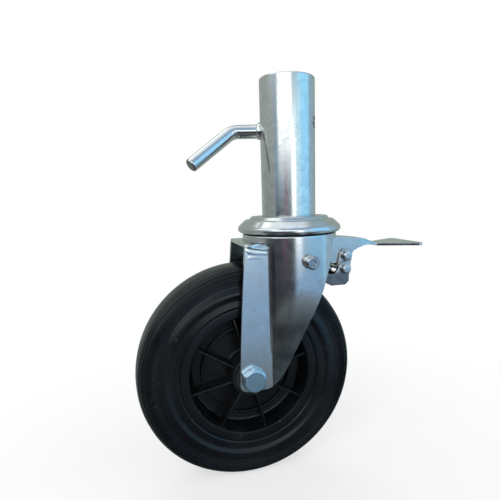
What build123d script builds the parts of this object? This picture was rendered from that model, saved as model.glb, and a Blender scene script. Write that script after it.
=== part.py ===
from build123d import *
import os
from math import atan2, cos, hypot, pi, radians, sin, sqrt

# Scaffold castor, in millimetres.
# The origin lies on the swivel axis at the top of the head cover and Z runs up the stem.
# The wheel trails towards -X, its axle runs along Y, and the foot pedal points to +X.

# Stem tube
tube_diameter = 48.3
tube_wall = 4.0
tube_rise = 116.8
tube_edge_break = 0.8
lock_hole_diameter = 11.0
lock_hole_height = 79.5
lock_hole_turn = -25.0

# Locking rod, welded into the stem
rod_diameter = 12.0
rod_height = 74.0
rod_turn = 160.0
rod_straight = 23.4
rod_bend_radius = 13.0
rod_drop_angle = 36.0
rod_leg = 48.4
rod_end_break = 1.2
weld_width = 2.4
weld_length = 4.0

# Head cover and swivel bearing
cover_sheet = 1.8
cover_step = 2.8
cover_overhang = 3.9
cover_gap = 0.8
cover_land_inset = 12.0
cover_step_run = 1.6
cover_shoulder_inset = 6.6
cover_skirt_height = 4.8
cover_curl = 1.6
race_thickness = 5.4
race_gap = 4.6
upper_ball_diameter = 7.0
upper_ball_count = 14
lower_ball_diameter = 6.0
lower_ball_count = 10
lower_ball_circle = 16.0
lower_race_gap = 4.0
lower_race_thickness = 3.6
race_shoulder = 5.8
king_pin_diameter = 14.0
king_head_diameter = 22.0
king_rivet_diameter = 22.0
king_rivet_height = 5.0
king_rivet_rim = 1.6

# Fork, pressed from one sheet
fork_sheet = 3.2
drum_radius = 42.7
drum_edge_radius = 2.0
drum_front_drop = 5.2
drum_back_drop = 9.0
strap_inner_corner = 1.8
leg_bulge = 1.8
leg_flat_radius = 140.0
leg_round_margin = 12.0
leg_back_edge = -29.0
leg_front_edge = 31.0
strap_front_edge = -28.0
toe_back = 11.9
toe_depth = 11.5
toe_front = 14.0
toe_corner = 6.5
fork_back_edge = -48.8
fork_back_bow = 0.9
fork_front_top = 29.5
fork_front_lip = 2.5
fork_top_margin = 5.0

# Front edge of the fork, as its way across and its way up from the toe to the drum
fork_front_sweep = ((0.16, 0.05), (0.32, 0.175), (0.585, 0.457), (0.83, 0.703), (0.96, 0.846))

# Wheel
wheel_diameter = 200.0
wheel_trail = 45.5
pin_to_tyre = 13.85
tyre_width = 45.4
tyre_wall_inset = 1.6
tyre_lip_width = 2.0
tyre_hollow_width = 8.0
tyre_bulge_start = 13.0
tyre_bulge_end = 17.0
tyre_shoulder_drop = 2.2
tyre_shoulder_inset = 6.4
tyre_crown_drop = 0.6
tyre_crown_inset = 13.0
tyre_ridge_height = 0.7
tyre_ridge_half_width = 0.9
tyre_ridges = ((12.3, 0.4), (8.9, 0.9), (4.4, 3.0))
rim_seat_diameter = 122.0
rim_flange_height = 2.6
rim_width = 41.6
rim_flange_width = 3.8
rim_barrel_wall = 6.2
rim_draft = 1.4
web_thickness = 5.0
rib_count = 8
rib_thickness = 2.2
rib_turn = 14.0
rib_hub_inset = 3.8
rib_rim_inset = 2.8
ring_rib_radius = 42.0
ring_rib_half_width = 6.5
hub_diameter = 36.0
hub_length = 49.6

# Axle and roller bearing
axle_diameter = 12.0
axle_across_flats = 19.0
axle_head_height = 7.5
axle_nut_height = 12.0
axle_washer_diameter = 24.0
axle_washer_thickness = 2.5
axle_end = 2.0
sleeve_diameter = 16.0
roller_diameter = 4.0
roller_inset = 4.8
roller_count = 11
cage_end = 2.5
cage_wall = 1.4
thrust_washer_diameter = 30.0
thrust_washer_thickness = 1.2
hub_play = 0.3

# Cross pin of the brake lever
cross_pin_x = 3.0
cross_pin_depth = 37.0
cross_pin_diameter = 8.0
cross_head_diameter = 11.6
cross_head_length = 9.3
cross_head_waist = 1.0
cross_head_edge = 1.2
cross_dimple_diameter = 5.0
cross_dimple_depth = 0.8
spacer_diameter = 13.0

# Brake pedal, links and lever
brake_sheet = 3.0
pedal_pivot_inset = 11.7
pedal_pivot_depth = 29.0
pedal_pivot_diameter = 6.0
pedal_half_width = 14.3
pedal_neck_half_width = 9.0
paddle_half_width = 28.0
paddle_thickness = 2.4
pedal_reach = 95.0
pedal_lobe_radius = 9.0
pedal_crown_reach = 10.5
pedal_open_back = 8.5
cheek_foot = (5.0, 11.5)
cheek_foot_depth = 15.5
cheek_brow = (8.9, -5.2)
paddle_length = 40.0
paddle_corner = 3.0
paddle_corner_set_back = 5.0
pedal_neck_length = 6.0
pedal_neck_round = 8.0
pedal_taper_length = 14.0

# Bends of the pedal's arm, as distances beyond the upper rivet and above the paddle
arm_top = ((21.6, 5.6), (30.6, 2.2), (36.6, 0.0))
arm_underside = ((29.2, -0.9), (22.1, -0.6), (14.2, -2.3))

rivet_lobe_radius = 6.5
rivet_diameter = 6.0
rivet_head_diameter = 9.5
rivet_head_height = 4.5
rivet_head_round = 2.2
pivot_head_overhang = 2.0
pivot_head_height = 1.5
pivot_head_round = 0.7
upper_rivet_reach = 18.4
upper_rivet_depth = 37.4
lower_rivet_set_back = 2.6
rivet_gap = 0.95
link_thickness = 2.5
link_half_width = 6.2
link_play = 0.7
lever_lobe_radius = 8.5
lever_ear_radius = 6.0
lever_foot_drop = 15.1
lever_heel_reach = 22.5
lever_foot_corner = 2.2
lever_front_inset = 2.0
lever_notch = (11.4, 6.3)
lever_notch_radius = 5.0
lever_neck = (12.0, 7.0)
lever_brake_turn = 11.7
shoe_gap = 1.0
layer_gap = 0.3
bracket_half_width = 11.0
bracket_ear_radius = 7.0
spring_wire = 1.6
spring_turns = 3
spring_pitch = 2.1
spring_room = 0.8
bracket_back_gap = 2.5
bracket_front_gap = 1.5

# Fits
press_clearance = 0.05
running_clearance = 0.08
ball_clearance = 0.2
loose_clearance = 0.5

# Levels and places that follow from the sizes above
plate_top = -(cover_step + cover_sheet)
plate_bottom = plate_top - race_thickness
crown_top = plate_bottom - race_gap
crown_bottom = crown_top - fork_sheet
lower_race_top = crown_bottom - lower_race_gap
lower_race_bottom = lower_race_top - lower_race_thickness
drum_inner = drum_radius - fork_sheet
plate_radius = drum_inner - ball_clearance - loose_clearance
ball_circle = plate_radius - race_shoulder
cover_radius = drum_radius + cover_overhang
tube_radius = tube_diameter / 2
bore_radius = tube_radius - tube_wall
drum_front_level = crown_top - drum_front_drop
drum_back_level = crown_top - drum_back_drop
strap_inner = hub_length / 2 + thrust_washer_thickness + hub_play
strap_outer = strap_inner + fork_sheet
wheel_radius = wheel_diameter / 2
axle_x = -wheel_trail
pin_to_axle = wheel_radius + pin_to_tyre
axle_z = -cross_pin_depth - sqrt(pin_to_axle * pin_to_axle - (cross_pin_x - axle_x) ** 2)
leg_end_level = axle_z - toe_depth
leg_round_depth = pedal_pivot_depth + pedal_lobe_radius + leg_round_margin
rim_mouth_diameter = rim_seat_diameter - rim_barrel_wall * 2
through = cover_radius * 2
roller_length = hub_length - roller_inset * 2
pedal_pivot_x = drum_radius - pedal_pivot_inset
pedal_tip_x = pedal_pivot_x + pedal_reach
upper_rivet_x = pedal_pivot_x + upper_rivet_reach
pedal_pivot = (pedal_pivot_x, -pedal_pivot_depth)
upper_rivet_place = (upper_rivet_x, -upper_rivet_depth)
lower_rivet_drop = lever_ear_radius + rivet_head_diameter / 2 + rivet_gap
lower_rivet_place = (upper_rivet_x - lower_rivet_set_back, -upper_rivet_depth - lower_rivet_drop)
cross_pin_place = (cross_pin_x, -cross_pin_depth)
pedal_cheek_inner = pedal_half_width - brake_sheet
link_inner = pedal_half_width + layer_gap
link_outer = link_inner + link_thickness
lever_inner = link_outer + layer_gap
lever_outer = lever_inner + brake_sheet


# Building blocks


def ring(outer, inner, low, high):
    """Ring about the swivel axis between two levels."""
    solid = Pos(0, 0, low) * Cylinder(outer, high - low, align=(Align.CENTER, Align.CENTER, Align.MIN))
    if inner > 0:
        bore = Pos(0, 0, low - 1) * Cylinder(
            inner, high - low + 2, align=(Align.CENTER, Align.CENTER, Align.MIN)
        )
        solid = solid - bore
    return solid


def turned(points):
    """Turn a profile of (radius, height) points about the Z axis."""
    return revolve(Plane.XZ * make_face(Polyline(*points, close=True)), axis=Axis.Z)


def side_plate(profile, start, end):
    """Extrude a side view profile, drawn as (x, z), from one Y to another."""
    return extrude(Plane.XZ.offset(-start) * profile, amount=start - end)


def both_sides(solid):
    """A solid of the near side together with its mirror image."""
    return solid + mirror(solid, about=Plane.XZ)


def pin(place, radius, start, end):
    """Cylinder along Y through a place of the side view."""
    return side_plate(Pos(*place) * Circle(radius), start, end)


def on_axle(solid):
    """Move a solid drawn about the Y axis to the wheel's axle."""
    return Pos(axle_x, 0, axle_z) * solid


def turned_on_y(points):
    """Turn a profile of (radius, y) points about the Y axis."""
    return revolve(make_face(Polyline(*points, close=True)), axis=Axis.Y)


def belt(*stops):
    """Closed outline that runs anticlockwise round circles (x, z, radius) like a belt.

    A radius of zero is a sharp corner and a negative radius rounds a hollow corner.
    """
    count = len(stops)
    normals = []
    for index, (x, z, radius) in enumerate(stops):
        next_x, next_z, next_radius = stops[(index + 1) % count]
        run = hypot(next_x - x, next_z - z)
        lean = atan2(next_z - z, next_x - x)
        tilt = (radius - next_radius) / run
        normals.append(lean - pi / 2 + atan2(tilt, sqrt(1 - tilt * tilt)))
    edges = []
    for index, (x, z, radius) in enumerate(stops):
        before = normals[index - 1]
        after = normals[index]
        turn = (after - before) % (2 * pi)
        if radius < 0:
            turn = turn - 2 * pi
        angles = (before, before + turn / 2, after)
        corner = [(x + radius * cos(a), z + radius * sin(a)) for a in angles]
        if radius != 0:
            edges.append(ThreePointArc(*corner))
        next_x, next_z, next_radius = stops[(index + 1) % count]
        far = (next_x + next_radius * cos(after), next_z + next_radius * sin(after))
        edges.append(Line(corner[2], far))
    return make_face(edges)


def rounded_head(radius, height, edge):
    """Head along +Z from zero with a rounded rim."""
    head = Cylinder(radius, height, align=(Align.CENTER, Align.CENTER, Align.MIN))
    return fillet(head.edges().sort_by(Axis.Z)[-1], edge)


def head_on_y(place, level, radius, height, edge):
    """A rounded head on both ends of a pin along Y, seated at +level and -level."""
    near = Pos(place[0], -level, place[1]) * Rot(X=90) * rounded_head(radius, height, edge)
    return both_sides(near)


def hexagon_piece(flats, height):
    """Hexagon along +Z from zero, chamfered at the top as bolt heads are."""
    prism = extrude(RegularPolygon(flats / 2, 6, major_radius=False, rotation=30), amount=height)
    corner = flats / sqrt(3)
    reach = corner - flats / 2
    cone = turned(
        [(0, 0), (corner, 0), (corner, height - reach * 0.6), (flats * 0.475, height), (0, height)]
    )
    return prism & cone


# Stem


def stem_tube():
    tube = ring(tube_radius, bore_radius, plate_top, tube_rise)
    rims = tube.edges().filter_by(GeomType.CIRCLE).group_by(Axis.Z)[-1]
    tube = chamfer(rims, tube_edge_break)
    hole = Cylinder(lock_hole_diameter / 2, tube_radius * 2, align=(Align.CENTER, Align.CENTER, Align.MIN))
    tube = tube - Pos(0, 0, lock_hole_height) * Rot(Z=lock_hole_turn) * Rot(Y=90) * hole
    seat = Cylinder(
        rod_diameter / 2 + press_clearance, tube_radius * 2, align=(Align.CENTER, Align.CENTER, Align.MIN)
    )
    return tube - Pos(0, 0, rod_height) * Rot(Z=rod_turn) * Rot(Y=90) * seat


def locking_rod():
    """Bent round bar whose inner end is flush with the bore, with its weld."""
    bend_start = tube_radius + rod_straight
    drop = radians(rod_drop_angle)
    bend_x = bend_start + rod_bend_radius * sin(drop)
    bend_z = -rod_bend_radius * (1 - cos(drop))
    middle = (
        bend_start + rod_bend_radius * sin(drop / 2),
        -rod_bend_radius * (1 - cos(drop / 2)),
    )
    tip = (bend_x + rod_leg * cos(drop), bend_z - rod_leg * sin(drop))
    start_x = bore_radius / 2
    path = Curve() + [
        Line((start_x, 0), (bend_start, 0)),
        ThreePointArc((bend_start, 0), middle, (bend_x, bend_z)),
        Line((bend_x, bend_z), tip),
    ]
    path = Plane.XZ * path
    section = Plane((start_x, 0, 0), z_dir=(1, 0, 0)) * Circle(rod_diameter / 2)
    bar = sweep(section, path=path)
    tip_edge = bar.edges().filter_by(GeomType.CIRCLE).sort_by(Axis.X)[-1]
    bar = chamfer(tip_edge, rod_end_break)
    cone = Cone(
        rod_diameter / 2 + weld_width * 2,
        rod_diameter / 2 + press_clearance,
        weld_length * 2,
        align=(Align.CENTER, Align.CENTER, Align.MIN),
    )
    weld = Pos(tube_radius - weld_length, 0, 0) * Rot(Y=90) * cone
    weld = weld - Cylinder(tube_radius + press_clearance, tube_diameter)
    bar = bar + weld - Cylinder(bore_radius, tube_diameter)
    return Pos(0, 0, rod_height) * Rot(Z=rod_turn) * bar


# Swivel head


def head_cover():
    """Pressed cover: land round the tube, a step, a shoulder and a curled skirt."""
    bottom = crown_top + cover_gap
    land = cover_radius - cover_land_inset
    step_end = land + cover_step_run
    shoulder = cover_radius - cover_shoulder_inset
    hole = tube_radius + layer_gap
    skirt_top = bottom + cover_skirt_height
    outer = [
        (hole, 0),
        (land, 0),
        (step_end, -cover_step),
        (shoulder, -cover_step),
        (cover_radius, skirt_top),
        (cover_radius, bottom + cover_curl),
        (cover_radius - cover_curl, bottom),
    ]
    inner = [
        (cover_radius - cover_sheet - 1.0, bottom + cover_sheet / 2),
        (cover_radius - cover_sheet, bottom + cover_sheet),
        (cover_radius - cover_sheet, skirt_top - 0.8),
        (shoulder - 0.7, plate_top),
        (land + 0.4, plate_top),
        (land - 1.2, -cover_sheet),
        (hole, -cover_sheet),
    ]
    profile = make_face(Polyline(*outer, *inner, close=True))
    rounds = ((land, 0, 1.5), (step_end, -cover_step, 0.8), (shoulder, -cover_step, 3.0),
              (cover_radius, skirt_top, 4.0), (cover_radius, bottom + cover_curl, 1.0))
    for x, z, radius in rounds:
        corner = profile.vertices().sort_by_distance((x, z, 0))[0]
        profile = fillet(corner, radius)
    return revolve(Plane.XZ * profile, axis=Axis.Z)


def ball_groove(circle, diameter, level):
    """Groove cutter for a ring of balls."""
    return Pos(0, 0, level) * Torus(circle, diameter / 2 + ball_clearance)


upper_ball_level = plate_bottom - race_gap / 2
lower_ball_level = crown_bottom - lower_race_gap / 2


def countersink(clearance):
    """Cone of the king pin's flush head, with a clearance all round."""
    head = king_head_diameter / 2 + clearance
    shank = king_pin_diameter / 2 + clearance
    return turned([(0, plate_top), (head, plate_top), (shank, plate_top - head + shank), (0, plate_bottom)])


def race_plate():
    """Upper race, countersunk for the king pin and grooved for the balls."""
    plate = ring(plate_radius, king_pin_diameter / 2 + press_clearance, plate_bottom, plate_top)
    plate = plate - countersink(press_clearance)
    return plate - ball_groove(ball_circle, upper_ball_diameter, upper_ball_level)


def lower_race():
    outer = lower_ball_circle + lower_ball_diameter
    race = ring(outer, king_pin_diameter / 2 + press_clearance, lower_race_bottom, lower_race_top)
    return race - ball_groove(lower_ball_circle, lower_ball_diameter, lower_ball_level)


def ball_ring(circle, diameter, count, level):
    """Balls evenly spaced on their circle, as separate solids."""
    places = PolarLocations(circle, count)
    return Compound(children=[Pos(0, 0, level) * place * Sphere(diameter / 2) for place in places])


def king_pin():
    """Pin with a flush head, riveted over below the lower race."""
    shank = king_pin_diameter / 2
    head = king_head_diameter / 2
    rivet = king_rivet_diameter / 2
    foot = lower_race_bottom - king_rivet_height
    return turned(
        [
            (0, plate_top),
            (head, plate_top),
            (shank, plate_top - head + shank),
            (shank, lower_race_bottom),
            (rivet, lower_race_bottom),
            (rivet, lower_race_bottom - king_rivet_rim),
            (rivet * 0.6, foot),
            (0, foot),
        ]
    )


def swivel_seal():
    """Ring in the gap under the race plate that keeps dirt off the balls."""
    outer = drum_radius - drum_edge_radius - ball_clearance
    inner = ball_circle + upper_ball_diameter / 2 + loose_clearance
    return ring(outer, inner, crown_top, plate_bottom - layer_gap)


# Fork


def drum():
    """Crown and drum of the fork, turned about the swivel axis."""
    hole = king_pin_diameter / 2 + loose_clearance
    profile = make_face(
        Polyline(
            (hole, crown_top),
            (drum_radius, crown_top),
            (drum_radius, drum_back_level),
            (drum_inner, drum_back_level),
            (drum_inner, crown_bottom),
            (hole, crown_bottom),
            close=True,
        )
    )
    for x, z, radius in ((drum_radius, crown_top, drum_edge_radius), (drum_inner, crown_bottom, 1.0)):
        corner = profile.vertices().sort_by_distance((x, z, 0))[0]
        profile = fillet(corner, radius)
    return revolve(Plane.XZ * profile, axis=Axis.Z)


def leg_section(level):
    """Curved band of sheet across a leg, rounder near the drum and flatter at the axle."""
    fraction = min(max((-level - leg_round_depth) / (-leg_end_level - leg_round_depth), 0), 1)
    blend = fraction * fraction * (3 - 2 * fraction)
    apex = drum_radius + (strap_outer + leg_bulge - drum_radius) * blend
    curvature = 1 / drum_radius + (1 / leg_flat_radius - 1 / drum_radius) * blend
    outer_radius = 1 / curvature
    inner_radius = outer_radius - fork_sheet
    centre = outer_radius - apex

    def rim(radius, x):
        return (x, centre - sqrt(radius * radius - x * x))

    outer = [rim(outer_radius, x) for x in (leg_back_edge, 0, leg_front_edge)]
    inner = [rim(inner_radius, x) for x in (leg_front_edge, 0, leg_back_edge)]
    edges = [
        ThreePointArc(*outer),
        Line(outer[2], inner[0]),
        ThreePointArc(*inner),
        Line(inner[2], outer[0]),
    ]
    return Plane.XY.offset(level) * make_face(edges)


def leg_shell():
    """Near leg: straight down from the drum, then lofted to the flat end at the axle."""
    round_part = extrude(leg_section(drum_back_level), amount=-leg_round_depth - drum_back_level)
    steps = 5
    fall = (-leg_end_level - leg_round_depth) / steps
    levels = [-leg_round_depth - fall * step for step in range(steps + 1)]
    return round_part + loft([leg_section(level) for level in levels])


def back_straps():
    """Strap that comes down both legs behind the bulge and crosses over behind the drum."""
    width = strap_outer * 2
    corner = fork_sheet + strap_inner_corner
    outer = Pos(0, (drum_back_level + fork_sheet + leg_end_level) / 2) * Rectangle(
        width, drum_back_level + fork_sheet - leg_end_level
    )
    top_corners = outer.vertices().group_by(Axis.Y)[-1]
    outer = fillet(top_corners, corner)
    inner = Pos(0, (drum_back_level + leg_end_level) / 2) * Rectangle(
        strap_inner * 2, drum_back_level - leg_end_level
    )
    inner_corners = inner.vertices().group_by(Axis.Y)[-1]
    inner = fillet(inner_corners, strap_inner_corner)
    start = axle_x - toe_back - fork_top_margin
    strap = extrude(Plane.YZ.offset(start) * (outer - inner), amount=strap_front_edge - start)
    return strap - ring(drum_inner, 0, drum_back_level, 0)


def fork_outline():
    """Side view of the fork: back edge, rounded toe, swept front edge and drum."""
    back_top = (fork_back_edge, drum_back_level + fork_sheet + 1)
    heel = (axle_x - toe_back, leg_end_level + toe_corner)
    back_middle = ((back_top[0] + heel[0]) / 2 - fork_back_bow, (back_top[1] + heel[1]) / 2)
    toe_start = (heel[0] + toe_corner, leg_end_level)
    toe_end = (axle_x + toe_front, leg_end_level)
    front_top = (fork_front_top, drum_front_level - fork_front_lip)
    across = front_top[0] - toe_end[0]
    rise = drum_front_level - leg_end_level
    sweep = [(toe_end[0] + across * part, leg_end_level + rise * up) for part, up in fork_front_sweep]
    drum_edge = (fork_front_top + fork_front_lip / 2, drum_front_level)
    beyond = drum_radius + fork_top_margin
    edges = [
        Line((back_top[0], 0), back_top),
        ThreePointArc(back_top, back_middle, heel),
        TangentArc(heel, toe_start, tangent=(0, -1)),
        Line(toe_start, toe_end),
        Spline(toe_end, *sweep, front_top, tangents=[(1, 0.3), (0.1, 1)]),
        Line(front_top, drum_edge),
        Line(drum_edge, (beyond, drum_front_level)),
        Line((beyond, drum_front_level), (beyond, 0)),
        Line((beyond, 0), (back_top[0], 0)),
    ]
    return make_face(edges)


def fork():
    sheet = drum() + both_sides(leg_shell()) + back_straps()
    sheet = sheet & side_plate(fork_outline(), -through, through)
    sheet = sheet - ball_groove(ball_circle, upper_ball_diameter, upper_ball_level)
    sheet = sheet - ball_groove(lower_ball_circle, lower_ball_diameter, lower_ball_level)
    sheet = sheet - pin((axle_x, axle_z), axle_diameter / 2 + press_clearance, -through, through)
    return sheet - pin(cross_pin_place, cross_pin_diameter / 2 + press_clearance, -through, through)


# Wheel


def wheel_rim():
    """Moulded centre: hub, web, barrel with flanges, radial ribs and a ring rib."""
    seat = rim_seat_diameter / 2
    flange = seat + rim_flange_height
    mouth = rim_mouth_diameter / 2
    root = mouth - rim_draft
    half = rim_width / 2
    flange_start = half - rim_flange_width
    hub = hub_diameter / 2
    bore = sleeve_diameter / 2 + roller_diameter + ball_clearance * 2
    web = web_thickness / 2
    half_profile = [
        (bore, hub_length / 2),
        (hub - 1.0, hub_length / 2),
        (hub, hub_length / 2 - 1.0),
        (hub + 0.6, web),
        (root, web),
        (mouth, half),
        (flange - 0.8, half),
        (flange, half - 0.8),
        (flange, flange_start),
        (seat, flange_start),
    ]
    mirrored = [(r, -y) for r, y in reversed(half_profile)]
    body = turned_on_y(half_profile + mirrored)
    hub_top = hub_length / 2 - rib_hub_inset
    rim_top = half - rib_rim_inset
    rib_face = make_face(
        Polyline(
            (hub - 1, hub_top), (mouth, rim_top), (mouth, -rim_top), (hub - 1, -hub_top), close=True
        )
    )
    rib = extrude(rib_face, amount=rib_thickness / 2, both=True)
    for index in range(rib_count):
        body = body + Rot(Y=-(rib_turn + 360 / rib_count * index)) * rib
    ring_inner = ring_rib_radius - rib_thickness / 2
    ring_outer = ring_rib_radius + rib_thickness / 2
    ring_top = ring_rib_half_width
    body = body + turned_on_y(
        [(ring_inner, ring_top), (ring_outer, ring_top), (ring_outer, -ring_top), (ring_inner, -ring_top)]
    )
    return on_axle(body)


def tyre():
    """Solid rubber tyre with fine ring ridges, a bulged wall and a crowned tread."""
    seat = rim_seat_diameter / 2 + press_clearance
    flange = rim_seat_diameter / 2 + rim_flange_height + press_clearance
    flange_start = rim_width / 2 - rim_flange_width
    half = tyre_width / 2
    wall = half - tyre_wall_inset
    ridge_foot = wheel_radius - tyre_ridges[0][0] - tyre_ridge_half_width * 2
    side = [
        (seat, 0),
        (seat, flange_start),
        (flange, flange_start),
        (flange, wall),
        (flange + tyre_lip_width, wall + tyre_ridge_height),
        (flange + tyre_hollow_width, wall),
        (flange + tyre_bulge_start, half),
        (flange + tyre_bulge_end, half),
        (ridge_foot, wall),
    ]
    for drop, inset in tyre_ridges:
        radius = wheel_radius - drop
        level = wall - inset
        side = side + [
            (radius - tyre_ridge_half_width, level),
            (radius, level + tyre_ridge_height),
            (radius + tyre_ridge_half_width, level),
        ]
    tread = [
        (wheel_radius - tyre_shoulder_drop, half - tyre_shoulder_inset),
        (wheel_radius - tyre_crown_drop, half - tyre_crown_inset),
        (wheel_radius, 0),
    ]
    upper = side + tread
    lower = [(r, -y) for r, y in reversed(upper)]
    profile = upper + lower[1:-1]
    return on_axle(turned_on_y(profile))


# Axle and roller bearing


def axle_bolt():
    """Hexagon bolt through both legs."""
    shank_end = strap_outer + axle_washer_thickness + axle_nut_height + axle_end
    shank = pin((0, 0), axle_diameter / 2, -strap_outer, shank_end)
    end_edge = shank.edges().filter_by(GeomType.CIRCLE).sort_by(Axis.Y)[-1]
    shank = chamfer(end_edge, 1.0)
    head = Pos(0, -strap_outer, 0) * Rot(X=90) * hexagon_piece(axle_across_flats, axle_head_height)
    return on_axle(shank + head)


def axle_nut():
    """Lock nut with the round collar of its insert."""
    collar = axle_nut_height / 4
    body = Rot(X=-90) * (
        hexagon_piece(axle_across_flats, axle_nut_height - collar)
        + ring(axle_across_flats * 0.42, 0, 0, axle_nut_height)
    )
    body = Pos(0, strap_outer + axle_washer_thickness, 0) * body
    bore = pin((0, 0), axle_diameter / 2 + press_clearance, strap_outer, strap_outer + axle_nut_height * 2)
    return on_axle(body - bore)


def round_washer(outer, inner, start, end):
    """Washer about the axle between two Y levels."""
    return on_axle(pin((0, 0), outer, start, end) - pin((0, 0), inner, start - 1, end + 1))


def axle_washer():
    bore = axle_diameter / 2 + press_clearance
    return round_washer(axle_washer_diameter / 2, bore, strap_outer, strap_outer + axle_washer_thickness)


def axle_sleeve():
    return round_washer(sleeve_diameter / 2, axle_diameter / 2 + press_clearance, -strap_inner, strap_inner)


def hub_washers():
    """Thrust washers between the hub and both legs, as separate solids."""
    inner = sleeve_diameter / 2 + press_clearance
    start = strap_inner - thrust_washer_thickness
    near = round_washer(thrust_washer_diameter / 2, inner, -strap_inner, -start)
    far = round_washer(thrust_washer_diameter / 2, inner, start, strap_inner)
    return Compound(children=[near, far])


roller_circle = sleeve_diameter / 2 + ball_clearance + roller_diameter / 2


def bearing_rollers():
    """Rollers evenly spaced round the sleeve, as separate solids."""
    rollers = []
    for index in range(roller_count):
        angle = 2 * pi * index / roller_count
        place = (roller_circle * cos(angle), roller_circle * sin(angle))
        rollers.append(on_axle(pin(place, roller_diameter / 2, -roller_length / 2, roller_length / 2)))
    return Compound(children=rollers)


def roller_cage():
    """Thin cage with one slot for each roller."""
    outer = roller_circle + cage_wall / 2
    inner = roller_circle - cage_wall / 2
    end = roller_length / 2 + cage_end
    slot_end = roller_length / 2 + ball_clearance
    cage = pin((0, 0), outer, -end, end) - pin((0, 0), inner, -end - 1, end + 1)
    for index in range(roller_count):
        angle = 2 * pi * index / roller_count
        place = (roller_circle * cos(angle), roller_circle * sin(angle))
        cage = cage - pin(place, roller_diameter / 2 + ball_clearance / 2, -slot_end, slot_end)
    return on_axle(cage)


# Cross pin and spacers


def cross_pin():
    """Pin with a waisted head that stands proud of the near leg."""
    seat = drum_radius + press_clearance
    end = seat + cross_head_length
    shank = cross_pin_diameter / 2
    head = cross_head_diameter / 2
    waist = head - cross_head_waist
    dimple = cross_dimple_diameter / 2
    far_end = seat + cross_head_length * 0.7
    profile = [
        (0, -end + cross_dimple_depth),
        (dimple - 0.6, -end + cross_dimple_depth),
        (dimple, -end),
        (head - cross_head_edge, -end),
        (head, -end + cross_head_edge),
        (head, -end + cross_head_length * 0.3),
        (waist, -end + cross_head_length * 0.42),
        (waist, -end + cross_head_length * 0.7),
        (head, -end + cross_head_length * 0.82),
        (head, -seat),
        (shank, -seat),
        (shank, far_end - cross_head_edge),
        (shank - cross_head_edge, far_end),
        (0, far_end),
    ]
    return Pos(cross_pin_x, 0, -cross_pin_depth) * turned_on_y(profile)


def cross_pin_collar():
    """Collar that holds the pin on the far leg."""
    seat = drum_radius + press_clearance
    end = seat + cross_head_length * 0.6
    bore = cross_pin_diameter / 2 + press_clearance
    head = cross_head_diameter / 2
    profile = [(bore, seat), (head, seat), (head, end - cross_head_edge), (head - cross_head_edge, end), (bore, end)]
    return Pos(cross_pin_x, 0, -cross_pin_depth) * turned_on_y(profile)


def pivot_spacers():
    """Tubes on the cross pin between the lever and both legs, as separate solids."""
    outer = spacer_diameter / 2
    bore = cross_pin_diameter / 2 + press_clearance
    reach = cross_pin_x + outer
    end = sqrt(drum_inner * drum_inner - reach * reach) - 0.1
    start = lever_outer + layer_gap
    near = pin(cross_pin_place, outer, -end, -start) - pin(cross_pin_place, bore, -end - 1, -start + 1)
    far = pin(cross_pin_place, outer, start, end) - pin(cross_pin_place, bore, start - 1, end + 1)
    return Compound(children=[near, far])


# Pedal bracket, pin and spring


def pedal_bracket():
    """Welded plate under the crown with two ears for the pedal's pin."""
    x, z = pedal_pivot
    back = lower_ball_circle + lower_ball_diameter + bracket_back_gap
    front = sqrt(drum_inner * drum_inner - bracket_half_width * bracket_half_width) - bracket_front_gap
    plate_bottom_level = crown_bottom - brake_sheet
    middle = (back + front) / 2
    plate = Pos(middle, 0, (crown_bottom + plate_bottom_level) / 2) * Box(
        front - back, bracket_half_width * 2, brake_sheet
    )
    ear_profile = belt((x, z, bracket_ear_radius), (front, crown_bottom - 1, 0), (back, crown_bottom - 1, 0))
    ear = side_plate(ear_profile, -bracket_half_width, -bracket_half_width + brake_sheet)
    hole = pin(pedal_pivot, pedal_pivot_diameter / 2 + press_clearance, -through, through)
    return plate + both_sides(ear) - hole


def pedal_pivot_pin():
    """Headed pin through the ears and the pedal's cheeks."""
    level = pedal_half_width + layer_gap
    shank = pin(pedal_pivot, pedal_pivot_diameter / 2, -level, level)
    head = pedal_pivot_diameter / 2 + pivot_head_overhang
    return shank + head_on_y(pedal_pivot, level, head, pivot_head_height, pivot_head_round)


def pedal_spring():
    """Torsion spring round the pedal's pin, from the bracket to the pedal."""
    x, z = pedal_pivot
    mean = pedal_pivot_diameter / 2 + spring_wire / 2 + spring_room
    length = spring_turns * spring_pitch
    coil = Helix(spring_pitch, length, mean)
    start = coil @ 0
    wire = Plane(start, z_dir=coil % 0) * Circle(spring_wire / 2)
    body = sweep(wire, path=coil, is_frenet=True)
    return Pos(x, length / 2, z) * Rot(X=90) * body


# Brake pedal, links and lever


def pedal_top():
    """Top line of the pedal in side view, from the drum's edge to the tip."""
    start = (pedal_pivot_x + pedal_crown_reach, drum_front_level - layer_gap)
    tread = pedal_pivot[1]
    bends = [(upper_rivet_x + reach, tread + rise) for reach, rise in arm_top]
    return [start, *bends, (pedal_tip_x, tread)]


def pedal_side():
    """Side view of the pedal: cheeks, arm and the flat paddle."""
    pivot_x, pivot_z = pedal_pivot
    rivet_x, rivet_z = upper_rivet_place
    top = pedal_top()
    brow = (rivet_x + cheek_brow[0], pivot_z + cheek_brow[1])
    cheek = belt(
        (pivot_x, pivot_z, pedal_lobe_radius),
        (pivot_x + cheek_foot[0], pivot_z - cheek_foot_depth, 0),
        (pivot_x + cheek_foot[1], pivot_z - cheek_foot_depth, 0),
        (rivet_x, rivet_z, rivet_lobe_radius),
        (*brow, 0),
        (*top[0], 0),
    )
    paddle_start = pedal_tip_x - paddle_length
    bends = [(rivet_x + reach, pivot_z + rise) for reach, rise in arm_underside]
    under = pivot_z - paddle_thickness
    underside = [(pedal_tip_x, under), (paddle_start, under), *bends, brow, upper_rivet_place]
    return cheek + make_face(Polyline(*top, *underside, close=True))


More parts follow.
